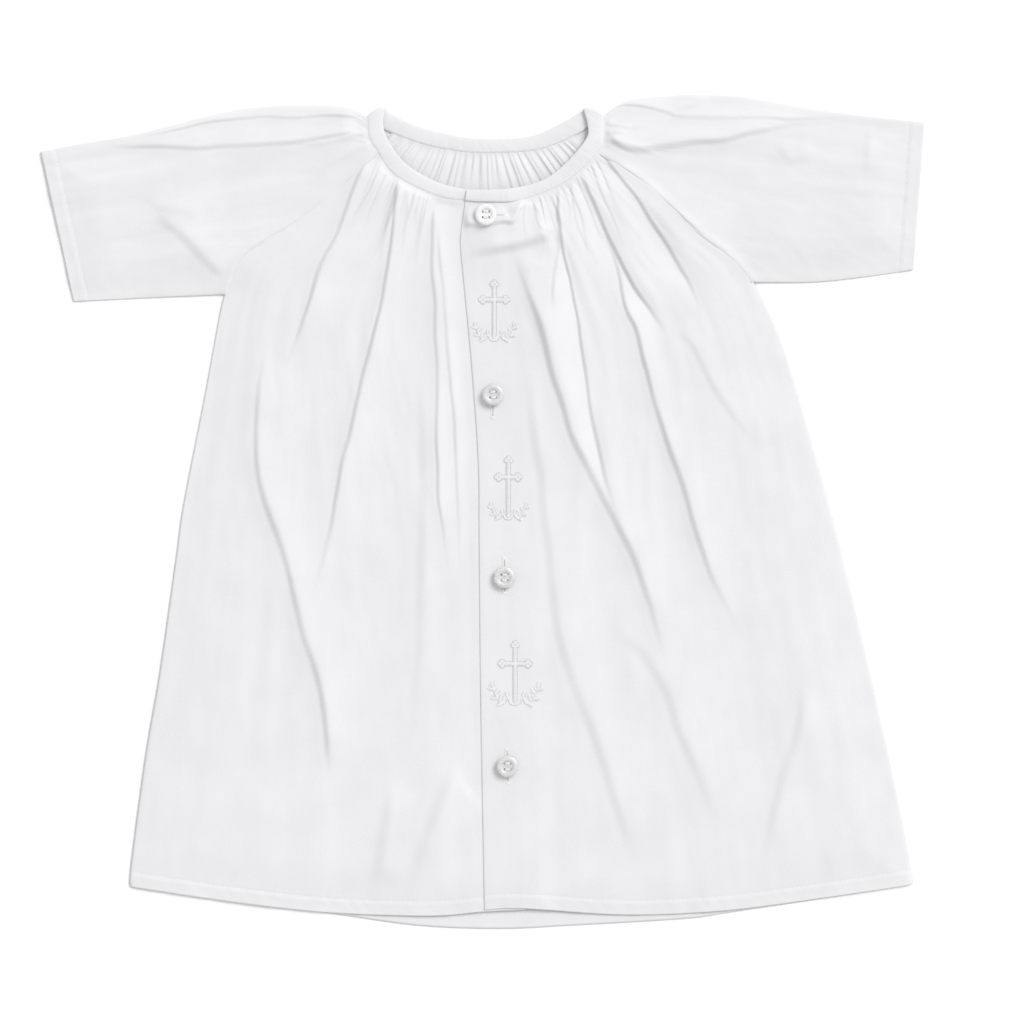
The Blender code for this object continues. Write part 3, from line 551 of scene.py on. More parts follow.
def clothPiece(name, columns, rows, place, closed=False):
    # Cloth from the neck down, with a wall from Solidify
    shape = gridShape(columns, rows, lambda column, row: place(column, rows - row))
    if closed:
        bmesh.ops.remove_doubles(shape, verts=shape.verts, dist=0.00001)
        bmesh.ops.recalc_face_normals(shape, faces=shape.faces)
    made = newPiece(name, shape, cotton)
    wall = made.modifiers.new("wall", "SOLIDIFY")
    wall.thickness = cloth["thickness"] * mm
    wall.offset = 0.0
    return made


def tuckIn(x, y, seam, share, row):
    # The rows above a neck seam lie inside the binding
    tuck = np.maximum(-row, 0.0)
    sideX, sideY = seam.side(share)
    return x + sideX * tuck, y + sideY * tuck


def rowShares(count, hemRows, hemShare, tucks=(-2.2, -1.1)):
    # Rows lie close at the neck and in the hem, and the first ones are tucked into the binding
    steps = np.arange(count) / count
    body = (1.0 - hemShare) * steps ** 1.35
    hem = np.linspace(1.0 - hemShare, 1.0, hemRows + 1)
    return np.concatenate([tucks, body, hem])


def columnShares(gathered, plain, shareGathered, reverse=False):
    # Columns lie close over the gathers and wider over the plain stretch
    shares = np.concatenate([np.linspace(0.0, shareGathered, gathered, endpoint=False),
                             np.linspace(shareGathered, 1.0, plain + 1)])
    return 1.0 - shares[::-1] if reverse else shares


frontLook = {
    "gatheredColumns": 140, "plainColumns": 68,
    "rows": 200, "hemRows": 18,
    "raglanShare": 0.26,       # share of the side's rows beside the sleeve
    "hemShare": 0.028,         # share of the length that is hem
    "gatheredShares": {"left": (0.54, 0.80), "right": (0.56, 0.76)},  # at the neck and the hem
    "seeds": {"left": (11, 21), "right": (12, 31)},  # of the gathers and the billows
    "puckers": 26, "puckerHeight": 0.35, "puckerReach": 0.04,
    "hemWidth": 7.0, "hemStep": 0.28, "hemGroove": 0.22, "hemDrag": 0.09,
    "puckerRise": 0.10,
}


def hemHeight(distance, run, seed):
    # A turned hem stands a little proud, puckered along its stitching
    step = frontLook["hemStep"] * smooth((frontLook["hemWidth"] + 0.6 - distance) / 0.9)
    groove = -frontLook["hemGroove"] * np.exp(-((distance - frontLook["hemWidth"]) / 0.7) ** 2)
    drag = frontLook["hemDrag"] * softNoise((run + 0.8 * distance) / 3.4, distance / 6.0, seed)
    drag = drag * np.exp(-((distance - 4.5) / 5.0) ** 2)
    return step + groove + drag


def seamHeight(distance, run, slope, seed):
    # Groove of a seam in a broad valley or ridge, with puckers that die away beside it
    groove = -cloth["seamDip"] * np.exp(-(distance / cloth["seamReach"]) ** 2)
    groove = groove + slope * cloth["seamSlope"] * np.exp(-distance / cloth["seamSlopeReach"])
    pucker = frontLook["puckerRise"] * softNoise(run / 3.4, distance / 14.0, seed)
    return groove + pucker * np.exp(-(distance / 7.0) ** 2)


def raglanSeam(half, x, y, seed):
    distance, side, place = half.raglan.near(x, y)
    slope = (0.15 if half is left else 1.0) * smooth(place / 0.15)
    return seamHeight(distance, place * half.raglan.length, slope, seed)


def hemPlace(hem, x, y):
    # Distance from a hem's edge and place along it
    distance, side, place = hem.near(x, y)
    return distance, place * hem.length


billowLook = {                 # rise in mm, and how many lie across and down a panel
    "broad": (0.42, 9.0, 2.6),
    "fine": (0.24, 23.0, 4.4),
    "small": (0.10, 40.0, 26.0),
}


def streaks(across, down, seed):
    # Soft uneven billows that fan out from the neck
    broad, fine, small = (
        rise * softNoise(across * wide, down * long, seed + number)
        for number, (rise, wide, long) in enumerate(billowLook.values()))
    return (broad + fine) * smooth(down / 0.12) + small


def bindingHeight(x, y):
    return upperHeight(x, y, 0.0) + cloth["bindingLift"]


def frontPanel(name, half):
    look = frontLook
    onLeft = half is left
    topShare, bottomShare = look["gatheredShares"][half.name]
    gatherSeed, streakSeed = look["seeds"][half.name]
    tops, bottoms = (columnShares(look["gatheredColumns"], look["plainColumns"], share, not onLeft)
                     for share in (topShare, bottomShare))
    rows = rowShares(look["rows"], look["hemRows"], look["hemShare"])
    outer = TwoSpans(Span(half.raglan), Span(half.side), look["raglanShare"])
    if onLeft:
        start, end = half.corner, underCorner
        sides = (outer, Span(lapEdge))
        gatheredSpan = (0.0, topShare)
    else:
        start, end = overCorner, half.corner
        sides = (Span(placket), outer)
        gatheredSpan = (1.0 - topShare, 1.0)
    top = Span(seamFront, seamFront.shareAt(start), seamFront.shareAt(end))
    gathers = makeGathers(look["puckers"], *gatheredSpan, look["puckerHeight"],
                          look["puckerReach"], gatherSeed)

    def place(column, row):
        down = np.maximum(rows[row], 0.0)
        x, y = patchPoint(top, Span(half.hem), *sides, tops[column], bottoms[column], down)
        seamShare = blend(top.start, top.end, tops[column])
        x, y = tuckIn(x, y, seamFront, seamShare, rows[row])
        seamX, seamY = seamFront.at(seamShare)
        held = bindingHeight(seamX, seamY)
        placketLeft = placket.near(x, y)[1]
        wave = gatherWave(tops[column], gathers, down)
        streak = streaks(bottoms[column], down, streakSeed)
        if onLeft:
            beside = 1.0 - smooth((placketLeft + 6.0) / 6.0)
            height = upperHeight(x, y, 1.0 - smooth((placketLeft + 2.0) / 8.0))
            wave = wave * beside
            streak = streak * beside
            gathered = smooth(-placketLeft / 8.0)
        else:
            fromLap = lapEdge.near(x, y)[1]
            height = upperHeight(x, y) + cloth["lapStep"] * smooth(
                1.0 - (fromLap - cloth["lapClear"]) / cloth["lapRamp"])
            edgeShare = np.maximum(placketLeft, 0.0) / cloth["edgeDipReach"]
            height = height - cloth["edgeDip"] * np.exp(-edgeShare ** 2)
            streak = streak * smooth((placketLeft - 2.0) / 10.0)
            streak = blend(streak, np.maximum(streak, 0.0), 1.0 - smooth((fromLap + 2.0) / 8.0))
            gathered = smooth((fromLap + 4.0) / 8.0)
            held = held + cloth["lapStep"] * smooth(
                1.0 - (lapEdge.near(seamX, seamY)[1] - 1.0) / cloth["lapRamp"])
        height = height + wave + streak + raglanSeam(half, x, y, 41)
        height = height + hemHeight(*hemPlace(half.hem, x, y), 51)
        height = np.maximum(height, cloth["sideMid"])
        height = rollDown(height, half.side.near(x, y)[0], cloth["sideMid"], cloth["sideRoll"])
        neckDistance = seamFront.near(x, y)[0]
        inBinding = np.where(rows[row] < 0.0, 1.0, 1.0 - smooth(neckDistance / 4.0))
        height = height - cloth["neckDrop"] * gathered * np.exp(
            -(neckDistance / cloth["neckDropReach"]) ** 2)
        return x, y, blend(height, held, inBinding * cloth["heldShare"])

    return clothPiece(name, len(tops) - 1, len(rows) - 1, place)


backLook = {
    "columns": 300, "rows": 80, "hemRows": 10,
    "crinkle": 0.25,           # small creases of the cloth inside the neck
    "neckMid": 0.95,           # middle of the cloth inside the binding
    "gathers": 34, "gatherRise": 0.95, "gatherReach": 0.13,
    "gatherWander": 0.007,     # how far a gather strays sideways, as a share of the width
}


def backPanel():
    look = backLook
    rows = rowShares(look["rows"], look["hemRows"], frontLook["hemShare"])
    top = Span(seamBack, seamBack.shareAt(left.backCorner), seamBack.shareAt(right.backCorner))
    sides = [TwoSpans(Span(half.backRaglan), Span(half.side), frontLook["raglanShare"])
             for half in (left, right)]
    gathers = makeGathers(look["gathers"], 0.0, 1.0, look["gatherRise"], look["gatherReach"], 13)

    def place(column, row):
        across = column / look["columns"]
        down = np.maximum(rows[row], 0.0)
        x, y = patchPoint(top, Span(hemBack), *sides, across, across, down)
        x, y = tuckIn(x, y, seamBack, blend(top.start, top.end, across), rows[row])
        wander = look["gatherWander"] * softNoise(across * 26.0, down * 22.0, 62)
        height = cloth["backMid"] + gatherWave(across + wander, gathers, down)
        height = height + look["crinkle"] * (1.0 + softNoise(across * 40.0, down * 8.0, 61)) * (
            1.0 - smooth(down / 0.2)) * smooth(down / 0.02)
        height = height + 0.5 * np.maximum(0.0, hemHeight(*hemPlace(hemBack, x, y), 52))
        neckDistance = seamBack.near(x, y)[0]
        inBinding = np.where(rows[row] < 0.0, 1.0, 1.0 - smooth(neckDistance / 1.8))
        height = blend(height, look["neckMid"], inBinding * cloth["heldShare"])
        return x, y, np.maximum(height, cloth["backMid"])

    return clothPiece("backCloth", look["columns"], len(rows) - 1, place)


sleeveLook = {
    "columns": 100,            # across one layer, from the top fold to the underarm fold
    "neckShare": 4.0 / 13.0,   # share of the body end that is gathered into the neck
    "rows": 130, "hemRows": 10, "hemShare": 0.055,
    "roll": 3.2,               # reach of the fold along both edges
    "gathers": 9, "gatherRise": 0.28, "gatherReach": 0.10,
    "neckTuck": 2.0,           # how far the body end lies inside the binding and the seams
    "seamTuck": 1.3,
    "tuckDrop": 0.55,
    "seeds": {"left": (14, 71), "right": (15, 81)},
}


def sleevePiece(name, half):
    look = sleeveLook
    layerColumns = look["columns"]
    gatherSeed, streakSeed = look["seeds"][half.name]
    sides = (half.top, half.under)
    steps = np.linspace(0.0, 1.0, look["rows"] + 1)
    alongs = np.concatenate([np.linspace(0.0, look["hemShare"], look["hemRows"], endpoint=False),
                             look["hemShare"] + (1.0 - look["hemShare"]) * (1.0 - (1.0 - steps) ** 1.25),
                             [1.5, 2.0]])
    gathers = makeGathers(look["gathers"], 0.0, look["neckShare"], look["gatherRise"],
                          look["gatherReach"], gatherSeed)

    def bodyEnd(seam, corner, raglan, tucked):
        # Gathered neck edge and raglan seam, as sewn or as tucked under them
        return TwoSpans(Span(seam, 0.0 if half is left else 1.0, seam.shareAt(corner),
                             tucked * look["neckTuck"]),
                        Span(raglan, 0.0, 1.0, tucked * half.turn * look["seamTuck"]),
                        look["neckShare"])

    upperEnds = [bodyEnd(seamFront, half.corner, half.raglan, tucked) for tucked in (0.0, 1.0)]
    lowerEnds = [bodyEnd(seamBack, half.backCorner, half.backRaglan, tucked) for tucked in (0.0, 1.0)]

    def layer(ends, across, along):
        x, y = patchPoint(Span(half.cuff), ends[0], *sides, across, across, np.minimum(along, 1.0))
        endX, endY = ends[0].at(across)
        tuckX, tuckY = ends[1].at(across)
        past = np.maximum(along - 1.0, 0.0)
        return x + (tuckX - endX) * past, y + (tuckY - endY) * past

    def place(column, row):
        column = column % (2 * layerColumns)
        onUpper = column < layerColumns
        across = 0.5 - 0.5 * np.cos(math.pi * ((column % layerColumns) / layerColumns))
        across = np.where(onUpper, across, 1.0 - across)
        along = alongs[row]
        upX, upY = layer(upperEnds, across, along)
        lowX, lowY = layer(lowerEnds, across, along)
        toFold = np.minimum(across, 1.0 - across)
        apart = np.where(onUpper, 0.0, smooth(toFold / 0.10))
        x = blend(upX, lowX, apart)
        y = blend(upY, lowY, apart)
        edge = np.minimum(half.top.near(x, y)[0], half.under.near(x, y)[0])
        edge = np.where(toFold <= 0.0, 0.0, edge)
        upper = upperHeight(x, y) + gatherWave(across, gathers, 1.0 - np.minimum(along, 1.0))
        upper = upper + 0.9 * streaks(across * 0.8, 0.12 + along * 0.7, streakSeed)
        upper = upper + raglanSeam(half, x, y, 42)
        raglanDistance, raglanSide = half.raglan.near(x, y)[:2]
        beyond = np.maximum(half.turn * raglanSide, 0.0)
        upper = upper + cloth["seamStep"] * np.exp(-(raglanDistance / cloth["seamStepReach"]) ** 2)
        upper = upper - look["tuckDrop"] * smooth(beyond / 0.8) * (across > look["neckShare"])
        cuffBand = hemHeight(*hemPlace(half.cuff, x, y), 53)
        upper = upper + cuffBand
        inBinding = 1.0 - smooth(seamFront.near(x, y)[0] / 2.2)
        inBinding = inBinding * (across < look["neckShare"] + 0.03)
        upper = blend(upper, bindingHeight(x, y), cloth["heldShare"] * inBinding)
        upper = np.maximum(upper, cloth["sideMid"])
        lower = cloth["backMid"] + 0.2 * np.maximum(0.0, cuffBand)
        middle = 0.5 * (lower + upper)
        share = np.clip(edge / look["roll"], 0.0, 1.0)
        swell = np.sqrt(1.0 - (1.0 - share) ** 2)
        height = np.where(onUpper, middle + (upper - middle) * swell, middle - (middle - lower) * swell)
        return x, y, height

    return clothPiece(name, 2 * layerColumns, len(alongs) - 1, place, True)


bindingLook = {
    "stations": 420,           # along the front and along the back
    "turns": 16,               # over each shoulder
    "around": 20,
    "thickness": 1.05,
    "backMid": 0.95,
    "lapLift": 1.25,
    "crown": 0.30,
    "ribRise": 0.045,          # fine ribs across the strip
    "shoulderBulge": 1.4,      # how far the fold over each shoulder is rounded
    "ribPeriod": 1.25,
}


def neckBinding():
    look = bindingLook

    def frontStations(shares, lap):
        seamX, seamY = seamFront.at(shares)
        freeShare = freeFront.near(seamX, seamY)[2]
        freeShare = np.where(shares < 0.5, freeShare * smooth(shares / 0.08),
                             1.0 - (1.0 - freeShare) * smooth((1.0 - shares) / 0.08))
        height = bindingHeight(seamX, seamY) + lap
        return np.column_stack([seamX, seamY, height, *freeFront.at(freeShare), height])

    def backStations(shares):
        height = np.full(shares.shape, look["backMid"])
        return np.column_stack([*seamBack.at(shares), height, *freeBack.at(shares), height])

    def shoulderTurn(front, back):
        rows = []
        middle = 0.5 * (front[2] + back[2])
        radius = 0.5 * (front[2] - back[2])
        for index in range(1, look["turns"]):
            share = index / look["turns"]
            angle = math.pi * share
            row = blend(front, back, share)
            for axis in (1, 4):
                row[axis] += radius * math.sin(angle)
            for axis in (2, 5):
                row[axis] = middle + radius * math.cos(angle)
            rows.append(row)
        return np.array(rows)

    steps = np.linspace(0.0, 1.0, look["stations"])
    underSide = frontStations(blend(seamFront.shareAt(underCorner), 0.0, steps), 0.0)
    backSide = backStations(steps)
    overShares = blend(1.0, seamFront.shareAt(overCorner), steps)
    overX, overY = seamFront.at(overShares)
    pastLap = overX - overCorner[0] - cloth["lapWidth"]
    lap = np.where(overY < 190.0, look["lapLift"] * smooth(1.0 - (pastLap - 1.0) / cloth["lapRamp"]), 0.0)
    overSide = frontStations(overShares, lap)
    stations = np.vstack([underSide, shoulderTurn(underSide[-1], backSide[0]), backSide,
                          shoulderTurn(overSide[0], backSide[-1])[::-1], overSide])
    firstTurn = len(underSide) + look["turns"] // 2
    turnStations = (firstTurn, firstTurn + look["turns"] + len(backSide))
    seam = stations[:, :3]
    free = stations[:, 3:]
    centre = 0.5 * (seam + free)
    reach = 0.5 * (free - seam)
    run = np.gradient(centre, axis=0)
    normal = np.cross(run, reach)
    normal /= np.linalg.norm(normal, axis=1)[:, None]
    along = np.concatenate([[0.0], np.cumsum(np.linalg.norm(np.diff(centre, axis=0), axis=1))])

    def place(column, row):
        angle = 2.0 * math.pi * row / look["around"]
        wide = np.sign(np.cos(angle)) * np.abs(np.cos(angle)) ** 0.7
        thick = np.sign(np.sin(angle)) * np.abs(np.sin(angle)) ** 0.7
        thick = thick * 0.5 * look["thickness"]
        wrinkle = 0.15 * softNoise((along[column] + 2.2 * wide) / 1.9, wide * 1.5, 91)
        wrinkle = wrinkle + 0.12 * softNoise(along[column] / 6.0, wide * 0.0, 92)
        wrinkle = wrinkle + look["ribRise"] * np.sin(math.tau * along[column] / look["ribPeriod"])
        thick = thick * (1.0 + wrinkle * 1.2 + look["crown"] * (1.0 - wide ** 2))
        point = centre[column] + reach[column] * wide[:, None] + normal[column] * thick[:, None]
        fromTurn = np.minimum(*(np.abs(along[column] - along[turn]) for turn in turnStations))
        bulge = look["shoulderBulge"] * (1.0 - wide ** 2) * np.exp(-(fromTurn / 3.0) ** 2)
        return point[:, 0], point[:, 1] + bulge, np.maximum(point[:, 2], 0.1)

    shape = gridShape(len(stations) - 1, look["around"],
                      lambda column, row: place(column, row % look["around"]))
    bmesh.ops.remove_doubles(shape, verts=shape.verts, dist=0.000001)
    ends = [edge for edge in shape.edges if edge.is_boundary]
    bmesh.ops.holes_fill(shape, edges=ends, sides=0)
    bmesh.ops.recalc_face_normals(shape, faces=shape.faces)
    return newPiece("neckBinding", shape, bias)


# Half of a button's section from the axis out, over the rim and into the dish, in mm
buttonLook = {
    "profile": ((0.0, 0.0), (3.9, 0.0), (4.6, 0.12), (5.2, 0.5), (5.52, 0.95), (5.6, 1.3),
                (5.5, 1.65), (5.2, 1.98), (4.75, 2.2), (4.2, 2.3), (3.7, 2.27), (3.25, 2.12),
                (2.95, 1.88), (2.75, 1.6), (2.45, 1.42), (2.0, 1.35), (0.0, 1.35)),
    "dishHeight": 1.35,
    "holeRadius": 0.62, "holeSpacing": 1.45,
    "steps": 72,
    "colour": (0.87, 0.87, 0.872, 1.0),
    "shade": (0.81, 0.81, 0.815, 1.0),
    "clear": 0.28,             # the lower three let some light through
}


def pearlMaterial(name, clear):
    made, tree, place = nodeMaterial(name)
    stops = ((0.35, buttonLook["shade"]), (0.65, buttonLook["colour"]))
    fillSockets(tree, tree.nodes["Principled BSDF"], {
        "Base Color": patches(tree, place, 160.0, 2.0, stops, 1.6)[1],
        "Roughness": 0.22, "Transmission Weight": clear,
        "Subsurface Weight": 0.25, "Subsurface Radius": (0.0015, 0.0014, 0.0012),
        "Subsurface Scale": 1.0, "Coat Weight": 0.35, "Coat Roughness": 0.12})
    return made


def buttonPiece(number, centre, base):
    look = buttonLook
    shape = bmesh.new()
    verts = [shape.verts.new((px * mm, 0.0, pz * mm)) for px, pz in look["profile"]]
    edges = [shape.edges.new(pair) for pair in zip(verts, verts[1:])]
    bmesh.ops.spin(shape, geom=verts + edges, cent=(0, 0, 0), axis=(0, 0, 1),
                   angle=math.tau, steps=look["steps"], use_merge=True)
    bmesh.ops.remove_doubles(shape, verts=shape.verts, dist=0.000002)
    bmesh.ops.recalc_face_normals(shape, faces=shape.faces)
    bmesh.ops.translate(shape, verts=shape.verts,
                        vec=(centre[0] * mm, centre[1] * mm, base))
    made = newPiece("buttonFine%d" % number, shape, pearl if number == 1 else clearPearl)
    drill = bmesh.new()
    for sideX in (-1, 1):
        for sideY in (-1, 1):
            hole = bmesh.ops.create_cone(drill, cap_ends=True, segments=20,
                                         radius1=look["holeRadius"] * mm,
                                         radius2=look["holeRadius"] * mm, depth=0.01)
            bmesh.ops.translate(drill, verts=hole["verts"], vec=(
                (centre[0] + sideX * look["holeSpacing"]) * mm,
                (centre[1] + sideY * look["holeSpacing"]) * mm, base))
    cutter = newPiece("drill", drill)
    cut = made.modifiers.new("holes", "BOOLEAN")
    cut.operation = "DIFFERENCE"
    cut.solver = "EXACT"
    cut.object = cutter
    ready = bpy.data.meshes.new_from_object(made.evaluated_get(
        bpy.context.evaluated_depsgraph_get()))
    made.modifiers.clear()
    made.data = ready
    bpy.data.objects.remove(cutter, do_unlink=True)
    ready.shade_smooth()
    ready.set_sharp_from_angle(angle=math.radians(50))
    return made


def finishPiece(piece, slotName, *nodes):
    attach(piece, "root")
    if nodes:
        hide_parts(*nodes)


print("materials")
cotton = cottonMaterial("cottonLawn")
bias = cottonMaterial("biasBinding", math.radians(45))
pearl = pearlMaterial("pearl", 0.0)
clearPearl = pearlMaterial("clearPearl", buttonLook["clear"])

print("back")
back = backPanel()
finishPiece(back, "white_cotton", "back_panel")

print("fronts")
frontLeft = frontPanel("frontLeftCloth", left)
finishPiece(frontLeft, "white_cotton", "front_left")
frontRight = frontPanel("frontRightCloth", right)
finishPiece(frontRight, "white_cotton", "front_right")

print("sleeves")
sleeveLeft = sleevePiece("sleeveLeftCloth", left)
finishPiece(sleeveLeft, "white_cotton", "sleeve_left")
sleeveRight = sleevePiece("sleeveRightCloth", right)
finishPiece(sleeveRight, "white_cotton", "sleeve_right")

print("binding")
binding = neckBinding()
finishPiece(binding, "cotton_binding", "neck_binding")

print("buttons")
buttonBases = []
for number, centre in enumerate(buttonCentres, start=1):
    node = "button_%d" % number
    buttonBases.append(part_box(node)[0][2])
    finishPiece(buttonPiece(number, centre, buttonBases[-1]), "pearl_button", node)

sewLook = {                    # stitches and threads in mm
    "pitch": 2.5, "length": 1.75, "radius": 0.15, "sink": 0.02,
    "hemInset": 7.2, "cuffInset": 7.0, "bindingInset": 1.1,
    "satinPitch": 0.40, "satinRadius": 0.24, "satinLift": 0.06,
    "outlinePitch": 1.15, "outlineRadius": 0.16, "outlineLift": 0.05,
    "colour": (0.90, 0.90, 0.91, 1.0),
    "satinColour": (0.84, 0.84, 0.855, 1.0),
    # grey of the outline stitches around the satin: painted shade where the satin's edges sink into the
    # cloth
    "paintedShadeColour": (0.65, 0.65, 0.67, 1.0),
    # dark grey of the strip laid in each buttonhole slit: painted shade of the slit's inside
    "slitPaintedShadeColour": (0.36, 0.36, 0.38, 1.0),
}


def threadMaterial(name, colour):
    made, tree, place = nodeMaterial(name)
    dark = [0.93 * value for value in colour[:3]] + [1.0]
    ply, tint = patches(tree, place, 2600.0, 2.0, ((0.0, dark), (1.0, colour)))
    bump = addNode(tree, "ShaderNodeBump", {"Height": ply, "Distance": 0.00004, "Strength": 0.5})
    fillSockets(tree, tree.nodes["Principled BSDF"], {
        "Base Color": tint, "Normal": bump.outputs["Normal"],
        "Roughness": 0.5, "Sheen Weight": 0.25})
    return made


def surfaceTree(piece):
    shape = bmesh.new()
    shape.from_object(piece, bpy.context.evaluated_depsgraph_get())
    tree = BVHTree.FromBMesh(shape)
    shape.free()
    return tree


def onSurface(tree, x, y, lift):
    # Place on top of a piece, or None past its edge
    hit = tree.ray_cast(Vector((x * mm, y * mm, 0.05)), Vector((0.0, 0.0, -1.0)))[0]
    return hit + Vector((0.0, 0.0, lift * mm)) if hit else None


def addStitch(shape, start, end, radius):
    run = end - start
    size = Matrix.Diagonal((radius * mm, radius * mm, 0.5 * run.length + 0.5 * radius * mm, 1.0))
    turn = run.to_track_quat("Z", "Y").to_matrix().to_4x4()
    place = Matrix.Translation(0.5 * (start + end))
    bmesh.ops.create_uvsphere(shape, u_segments=6, v_segments=5, radius=1.0,
                              matrix=place @ turn @ size)


def laidStitch(shape, tree, startX, startY, endX, endY, radius, lift):
    start = onSurface(tree, startX, startY, lift)
    end = onSurface(tree, endX, endY, lift)
    if start and end and (end - start).length > 0.0:
        addStitch(shape, start, end, radius)


def stitchRow(shape, tree, line, offset, first, last, pitch, length, radius, lift):
    # Running stitches beside a curve, from one share of its length to another. One that would
    # pass the curve's end is left out
    place = first * line.length
    while place < last * line.length and place + length < 1.01 * line.length:
        ends = []
        for run in (place, place + length):
            share = run / line.length
            x, y = line.at(share)
            sideX, sideY = line.side(share)
            ends += [float(x + sideX * offset), float(y + sideY * offset)]
        laidStitch(shape, tree, *ends, radius, lift)
        place += pitch


def threadPiece(name, shape, material):
    finishPiece(newPiece(name, shape, material), "white_cotton")


def runningStitches(name, rows):
    # Each row: the piece's surface, the line, and its inset, first and last share
    look = sewLook
    shape = bmesh.new()
    for tree, line, inset, first, last in rows:
        stitchRow(shape, tree, line, inset, first, last, look["pitch"], look["length"],
                  look["radius"], look["sink"])
    threadPiece(name, shape, thread)


def satinArm(shape, tree, startX, startY, endX, endY, width, widthAt=None):
    # Stitches laid side by side across an arm, each as wide as the arm is there
    look = sewLook
    length = math.hypot(endX - startX, endY - startY)
    runX, runY = (endX - startX) / length, (endY - startY) / length
    count = max(3, round(length / look["satinPitch"]))
    for number in range(count + 1):
        share = number / count
        half = 0.5 * width * (widthAt(share) if widthAt else 1.0)
        if half < 0.15:
            continue
        x, y = blend(startX, endX, share), blend(startY, endY, share)
        laidStitch(shape, tree, x - runY * half, y + runX * half, x + runY * half,
                   y - runX * half, look["satinRadius"], look["satinLift"])


def roundShare(share):
    # Width of a round or leaf shape along its length
    return math.sqrt(max(0.0, 1.0 - (2.0 * share - 1.0) ** 2))


def leafShare(share):
    return math.sin(math.pi * share ** 0.8)


motifLook = {                  # a budded cross over two leaf sprays, white on white, in mm
    "places": (((6.1, 120.0), 110.1, 88.8, 15.6, 0.84),
               ((13.4, 28.7), 18.1, -3.8, 13.8, 0.76),
               ((16.9, -67.1), -78.7, -100.0, 17.2, 1.0)),
    "armWidth": 1.9, "barWidth": 2.1,
    "budRadius": 1.15, "budSpread": 1.25, "budOut": 0.45,
    "footRise": 1.2,           # the upright ends above the place where the stems meet
    "armEdge": 0.28, "rimEdge": 0.22, "stemEdge": 0.42,  # outline stitches beside the satin, grey to paint the shade where its edges sink
    # Stem of the right spray from the foot, and its leaves: place, turn in degrees and length
    "stem": ((0.0, 0.0), (2.2, 0.5), (4.0, 3.6), (5.4, 0.9), (7.4, 0.8), (9.4, 3.6), (11.6, 8.8)),
    "leaves": ((4.0, 3.6, 80.0, 4.0), (6.6, 0.9, -30.0, 3.4), (8.0, 1.8, 105.0, 4.6),
               (9.0, 3.0, 8.0, 4.4), (10.4, 5.6, 125.0, 4.2), (11.2, 7.6, 20.0, 3.8),
               (11.6, 8.6, 78.0, 4.0)),
    "leafWidth": 2.2,
}


def motifPiece(number, tree):
    look = motifLook
    (crossX, topY), barY, footY, barWidth, size = look["places"][number]
    satin = bmesh.new()
    # the satin's outline is stitched in a grey thread that paints the shade along its sunk edges
    outline = bmesh.new()
    edge = (sewLook["outlineRadius"], sewLook["outlineLift"])
    reach = look["budSpread"] + look["budRadius"]
    barLeft, barRight = crossX - 0.5 * barWidth + reach, crossX + 0.5 * barWidth - reach
    arms = ((crossX, topY - reach, crossX, footY + look["footRise"], look["armWidth"]),
            (barLeft, barY, barRight, barY, look["barWidth"]))
    for startX, startY, endX, endY, width in arms:
        satinArm(satin, tree, startX, startY, endX, endY, width)
        length = math.hypot(endX - startX, endY - startY)
        runX, runY = (endX - startX) / length, (endY - startY) / length
        step = sewLook["outlinePitch"]
        for side in (-1.0, 1.0):
            aside = side * (0.5 * width + look["armEdge"])
            for index in range(int(length / step)):
                x = startX + runX * index * step - runY * aside
                y = startY + runY * index * step + runX * aside
                laidStitch(outline, tree, x, y, x + runX * 0.9 * step, y + runY * 0.9 * step, *edge)
    for endX, endY, angle in ((crossX, topY - reach, 90.0), (barLeft, barY, 180.0),
                              (barRight, barY, 0.0)):
        outX, outY = math.cos(math.radians(angle)), math.sin(math.radians(angle))
        for turn in (-90.0, 0.0, 90.0):
            away = math.radians(angle + turn)
            far = look["budSpread"] * (1.0 if turn == 0.0 else 0.95)
            x = endX + far * math.cos(away) + look["budOut"] * outX
            y = endY + far * math.sin(away) + look["budOut"] * outY
            radius = look["budRadius"]
            satinArm(satin, tree, x - radius * outX, y - radius * outY,
                     x + radius * outX, y + radius * outY, 2.0 * radius, roundShare)
            rim = radius + look["rimEdge"]
            for step in range(8):
                one, two = math.tau * step / 8, math.tau * (step + 0.8) / 8
                laidStitch(outline, tree, x + rim * math.cos(one), y + rim * math.sin(one),
                           x + rim * math.cos(two), y + rim * math.sin(two), *edge)
    for side in (-1.0, 1.0):
        stem = Curve([(crossX + side * size * px, footY + size * py) for px, py in look["stem"]])
        stitchRow(satin, tree, stem, 0.0, 0.0, 0.99, 0.9, 0.95, sewLook["satinRadius"],
                  sewLook["satinLift"])
        stitchRow(outline, tree, stem, -look["stemEdge"] * side, 0.0, 0.99,
                  sewLook["outlinePitch"], 1.0, *edge)
        for px, py, angle, length in look["leaves"]:
            x, y = crossX + side * size * px, footY + size * py
            away = math.radians(angle)
            endX = x + side * size * length * math.cos(away)
            endY = y + size * length * math.sin(away)
            satinArm(satin, tree, x, y, endX, endY, look["leafWidth"] * size, leafShare)
            leaf = Curve(((x, y), (0.5 * (x + endX), 0.5 * (y + endY)), (endX, endY)))
            stitchRow(outline, tree, leaf, -0.5 * size * look["leafWidth"] - 0.15, 0.15, 0.85, 1.0,
                      0.9, *edge)
    threadPiece("motif%dSatin" % (number + 1), satin, silkThread)
    threadPiece("motif%dOutline" % (number + 1), outline, paintedShadeThread)


buttonholeLook = {
    # Centre, half length and turn from upright in degrees
    "places": ((4.6, 153.6, 7.0, 90.0), (5.5, 56.6, 7.2, 2.0), (11.4, -33.0, 8.4, 0.0),
               (13.0, -131.9, 8.2, -2.0)),
    "pitch": 0.36, "inner": 0.22, "outer": 1.15, "barRadius": 0.17, "barLift": 0.03,
    "endBars": 4, "endStart": 0.1, "endPitch": 0.3, "endHalf": 1.25, "endRadius": 0.18,
    "endLift": 0.05,
    "slitRadius": 0.16, "slitSink": 0.03,
}


